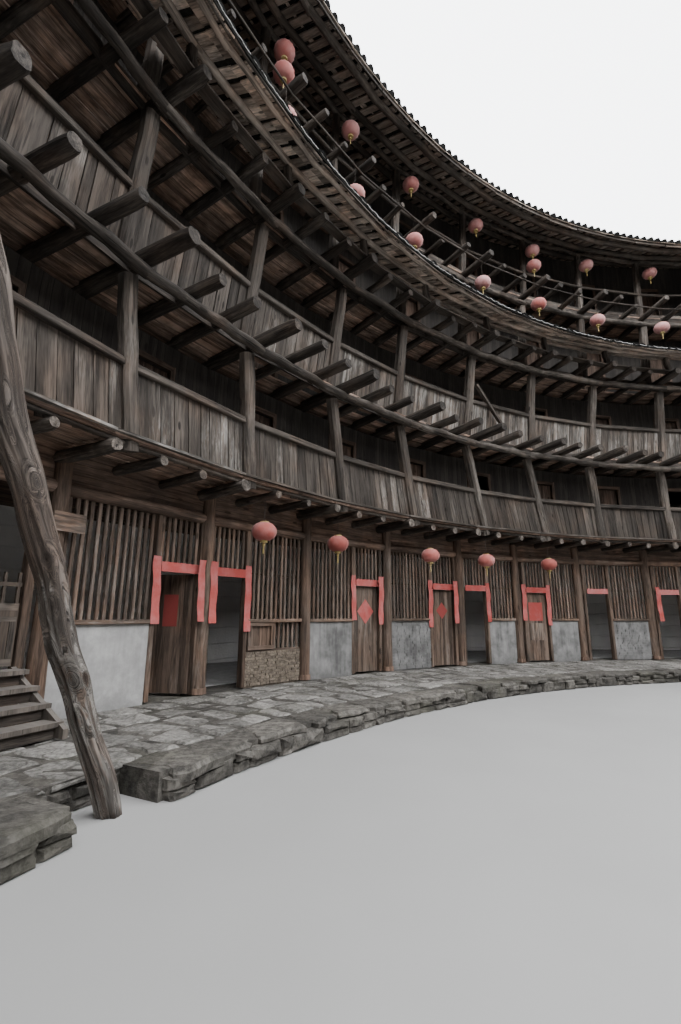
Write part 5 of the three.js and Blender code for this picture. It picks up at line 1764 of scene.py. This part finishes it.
class ROUNDHOUSE_OT_prop(Operator):
    """Build the rough trunk that leans under the third floor."""

    bl_idname = "roundhouse.prop"
    bl_label = "Leaning prop"

    def execute(self, context):
        m = Mesher(904)
        start, end = polar(*PROP_FOOT), polar(*PROP_HEAD)
        axis = unit(end - start)
        side = unit(np.cross((0, 0, 1.0), axis))
        top = np.cross(axis, side)
        onward = polar(1.0, 157.9 + 90, 0.0)
        length = np.linalg.norm(end - start)
        rings, sides = 120, 54
        knots = [(m.draw(0.06, 0.9), m.draw(1.6, 4.6), m.draw(0.5, 1.0)) for _ in range(10)]
        knots += PROP_KNOTS
        points, grain, tones = [], [], []
        for i in range(rings + 1):
            u = i / rings
            bow = 0.12 * math.exp(-((u - 0.47) / 0.3) ** 2)
            crook = 0.014 * math.sin(u * 19 + 1) + 0.008 * math.sin(u * 47)
            hide = min(1.0, u * 16, (1 - u) * 16)
            radius = 0.09 + 0.075 * min(u, 0.45) + 0.004 * math.sin(u * 17 + 1)
            radius += 0.003 * math.sin(u * 41)
            for j in range(sides):
                t = 2 * math.pi * j / sides - 2.5
                twist = t + 1.6 * u
                rough, tone = self.bark(u, t, twist, knots, length)
                reach = radius + rough
                offset = side * reach * math.cos(t) + top * (reach * math.sin(t) + crook * hide)
                points.append(start + axis * length * u + offset + onward * bow * hide)
                grain.append((length * u, 0.075 * math.cos(twist), 0.075 * math.sin(twist)))
                tones.append(tone)
        points = np.array(points)
        points[:sides, 2], points[-sides:, 2] = PROP_FOOT[2], PROP_HEAD[2]
        m.add(points, [tube(rings, sides), fan(sides)[:, ::-1], fan(sides) + rings * sides],
              grain, np.array(tones), smooth=True)
        m.piece("prop_trunk", "prop_log", "Prop trunk", replaces=["leaning_prop"])
        return {"FINISHED"}

    def bark(self, u, t, twist, knots, length):
        """How far the surface stands out at a share of the length and a turn, and its tone."""
        rough = 0.008 * math.sin(twist * 3) + 0.005 * math.sin(twist * 7 - u * 9)
        rough += 0.004 * math.sin(twist * 13 + u * 5)
        tone = 1.3 - 1.5 * min(1.0, max(0.0, (u - 0.1) * 4))
        tone += 2.0 * math.exp(-((u - 0.178) / 0.012) ** 2 - ((t - FACING + 0.2) / 0.4) ** 2)
        for count, phase, depth in ((3, 1.0, 0.01), (5, 4.0, 0.009), (8, 2.0, 0.007)):
            groove = math.cos((twist * count + phase + 0.9 * math.sin(u * 9 + phase)) / 2)
            groove = groove ** 24 * max(0.0, math.sin(u * (17 + phase * 3) + t + phase))
            rough -= depth * groove
            tone -= 1.6 * groove
        for place, angle, weight in knots:
            du = (u - place) * length / 0.11
            dt = math.remainder(t - angle, 2 * math.pi) / 0.55
            d = du * du + dt * dt
            rough += weight * (0.026 * math.exp(-d) - 0.032 * math.exp(-5 * d))
            tone += weight * (0.9 * math.exp(-1.5 * d) - 3.4 * math.exp(-5 * d))
        return rough, tone


# Lanterns


def lantern_body(cloth, trim, centre, hang, fade=1.0):
    """A ribbed lantern with gold ends, tassel and string. centre is in real metres."""
    ribs, rows, reach_up = 32, 8, 1.2
    height = LANTERN_SIZE * 0.76
    points, grain = [], []
    for i in range(rows + 1):
        v = -1 + 2 * i / rows
        for j in range(ribs):
            a = 2 * math.pi * j / ribs
            reach = LANTERN_SIZE * math.cos(v * reach_up) ** 0.85 * (1.0 if j % 2 else 0.955)
            points.append(centre + (reach * math.cos(a), reach * math.sin(a),
                                    height * math.sin(v * reach_up)))
            grain.append((v, j / ribs, 0.0))
    cloth.add(points, [tube(rows, ribs), fan(ribs)[:, ::-1], fan(ribs) + rows * ribs], grain,
              cloth.any_tone() + fade, smooth=True)
    edge = height * math.sin(reach_up)
    foot = -edge - 0.035
    for z0, z1, radius, sides, shape in (
            (edge - 0.005, edge + 0.02, LANTERN_SIZE * 0.36, 12, {"tone": 0.3, "smooth": True}),
            (-edge - 0.04, 0.005 - edge, LANTERN_SIZE * 0.3, 12, {"tone": 0.3, "smooth": True}),
            (foot - 0.06, foot, 0.032, 8, {"taper": 0.5, "tone": 0.3, "smooth": True}),
            (foot - 0.2, foot - 0.05, 0.015, 6, {"rings": 2, "taper": 0.6}),
            (edge + 0.01, hang - centre[2], 0.005, 5, {"tone": -1, "finish": 1})):
        trim.prism(centre + (0, 0, z0), centre + (0, 0, z1), circle(radius, sides), **shape)


class ROUNDHOUSE_OT_lanterns(Operator):
    """Hang the rows of faded red lanterns."""

    bl_idname = "roundhouse.lanterns"
    bl_label = "Lanterns"

    def execute(self, context):
        roof_z = EAVE[1] + (16.4 - EAVE[0]) * (RIDGE[1] - EAVE[1]) / (RIDGE[0] - EAVE[0]) - 0.22
        rows = (("upper_lanterns", 16.45, roof_z, 13.0, UPPER_LANTERNS),
                ("lower_lanterns", 16.05, 11.41, 10.68, LOWER_LANTERNS))
        for salt, (name, radius, pole, height, places) in enumerate(rows, 1000):
            cloth, trim = Mesher(salt), Mesher(salt + 10)
            for degrees in places:
                z = height + cloth.draw(-0.05, 0.05)
                lantern_body(cloth, trim, polar(radius, degrees, z), pole)
                if name == "upper_lanterns" and degrees in PAIRED_LANTERNS:
                    lantern_body(cloth, trim, polar(radius, degrees, z - 0.56), z - 0.2)
            for k in range(11, 19):
                trim.along(radius, k * BAY, (k + 1) * BAY, pole - 0.03, circle(0.022, 7),
                           rings=3, sway=0.008, tone=-1, finish=1, smooth=True)
            self.hang(cloth, trim, name, [name])
        cloth, trim = Mesher(1030), Mesher(1031)
        for degrees in GROUND_LANTERNS:
            lantern_body(cloth, trim, polar(17.03, degrees, 3.04), 3.67, fade=0.0)
        self.hang(cloth, trim, "ground_lanterns", [f"ground_lantern_{i}" for i in range(1, 6)])
        return {"FINISHED"}

    def hang(self, cloth, trim, name, replaced):
        cloth.piece(name + "_cloth", "lantern_red", "Lantern cloth", replaces=replaced)
        trim.piece(name + "_trim", "lantern_red", "Gold thread", "Old timber")


# Stage


class ROUNDHOUSE_OT_stage(Operator):
    """Set the plain floor, the soft light and the camera of the photographed view."""

    bl_idname = "roundhouse.stage"
    bl_label = "Stage, light and camera"

    def execute(self, context):
        scene = context.scene
        camera = self.placed("Courtyard view", bpy.data.cameras.new("Courtyard view"))
        camera.data.sensor_width = 36.0
        camera.data.lens = 16.704
        camera.data.clip_start = 0.05
        camera.data.clip_end = 500.0
        heading, pitch, roll = 90.3, 12.199, 0.2668
        turn = Matrix.Translation((-5.991, 1.0995, 0.8))
        for angle, axis in ((heading - 90, "Z"), (pitch + 90, "X"), (roll, "Z")):
            turn @= Matrix.Rotation(math.radians(angle), 4, axis)
        camera.matrix_world = turn
        scene.camera = camera
        scene.world = bpy.data.worlds.new("Overcast")
        scene.world.use_nodes = True
        sky = scene.world.node_tree.nodes["Background"].inputs
        sky[0].default_value = (0.96, 0.975, 1.0, 1.0)
        sky[1].default_value = 6.5
        sun = self.placed("Soft sky", bpy.data.lights.new("Soft sky", "SUN"))
        sun.data.energy = 2.0
        sun.data.angle = math.radians(70)
        sun.rotation_euler = (math.radians(-28), math.radians(-12), 0.0)
        mesh = bpy.data.meshes.new("studio_floor")
        mesh.from_pydata([(x, y, 0) for x, y in rect(120, 120)], [], [(0, 1, 2, 3)])
        mesh.materials.append(finish("Studio floor"))
        self.placed("studio_floor", mesh)
        return {"FINISHED"}

    def placed(self, name, data):
        made = bpy.data.objects.new(name, data)
        bpy.context.scene.collection.objects.link(made)
        return made


class ROUNDHOUSE_PT_panel(Panel):
    """Sidebar list of the dressing's steps."""

    bl_label = "Roundhouse"
    bl_idname = "ROUNDHOUSE_PT_panel"
    bl_space_type = "VIEW_3D"
    bl_region_type = "UI"
    bl_category = "Roundhouse"

    def draw(self, context):
        for group in (sizes(), colours()):
            box = self.layout.box()
            for name in group.__annotations__:
                box.prop(group, name)
        for step in STEPS:
            self.layout.operator(step.bl_idname)


STEPS = (ROUNDHOUSE_OT_stage, ROUNDHOUSE_OT_walkway, ROUNDHOUSE_OT_ground_front,
         ROUNDHOUSE_OT_floors, ROUNDHOUSE_OT_galleries, ROUNDHOUSE_OT_rooms,
         ROUNDHOUSE_OT_skirt_roof, ROUNDHOUSE_OT_main_roof, ROUNDHOUSE_OT_outer_wall,
         ROUNDHOUSE_OT_doors, ROUNDHOUSE_OT_stair, ROUNDHOUSE_OT_prop, ROUNDHOUSE_OT_lanterns)
CLASSES = (RoundhouseSizes, RoundhouseColours, *STEPS, ROUNDHOUSE_PT_panel)


def register():
    for made in CLASSES:
        bpy.utils.register_class(made)
    bpy.types.Scene.roundhouse_sizes = PointerProperty(type=RoundhouseSizes)
    bpy.types.Scene.roundhouse_colours = PointerProperty(type=RoundhouseColours)


def unregister():
    del bpy.types.Scene.roundhouse_colours
    del bpy.types.Scene.roundhouse_sizes
    for made in reversed(CLASSES):
        bpy.utils.unregister_class(made)


def main():
    register()
    for step in STEPS:
        group, name = step.bl_idname.split(".")
        getattr(getattr(bpy.ops, group), name)()
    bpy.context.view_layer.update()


if __name__ == "__main__":
    main()
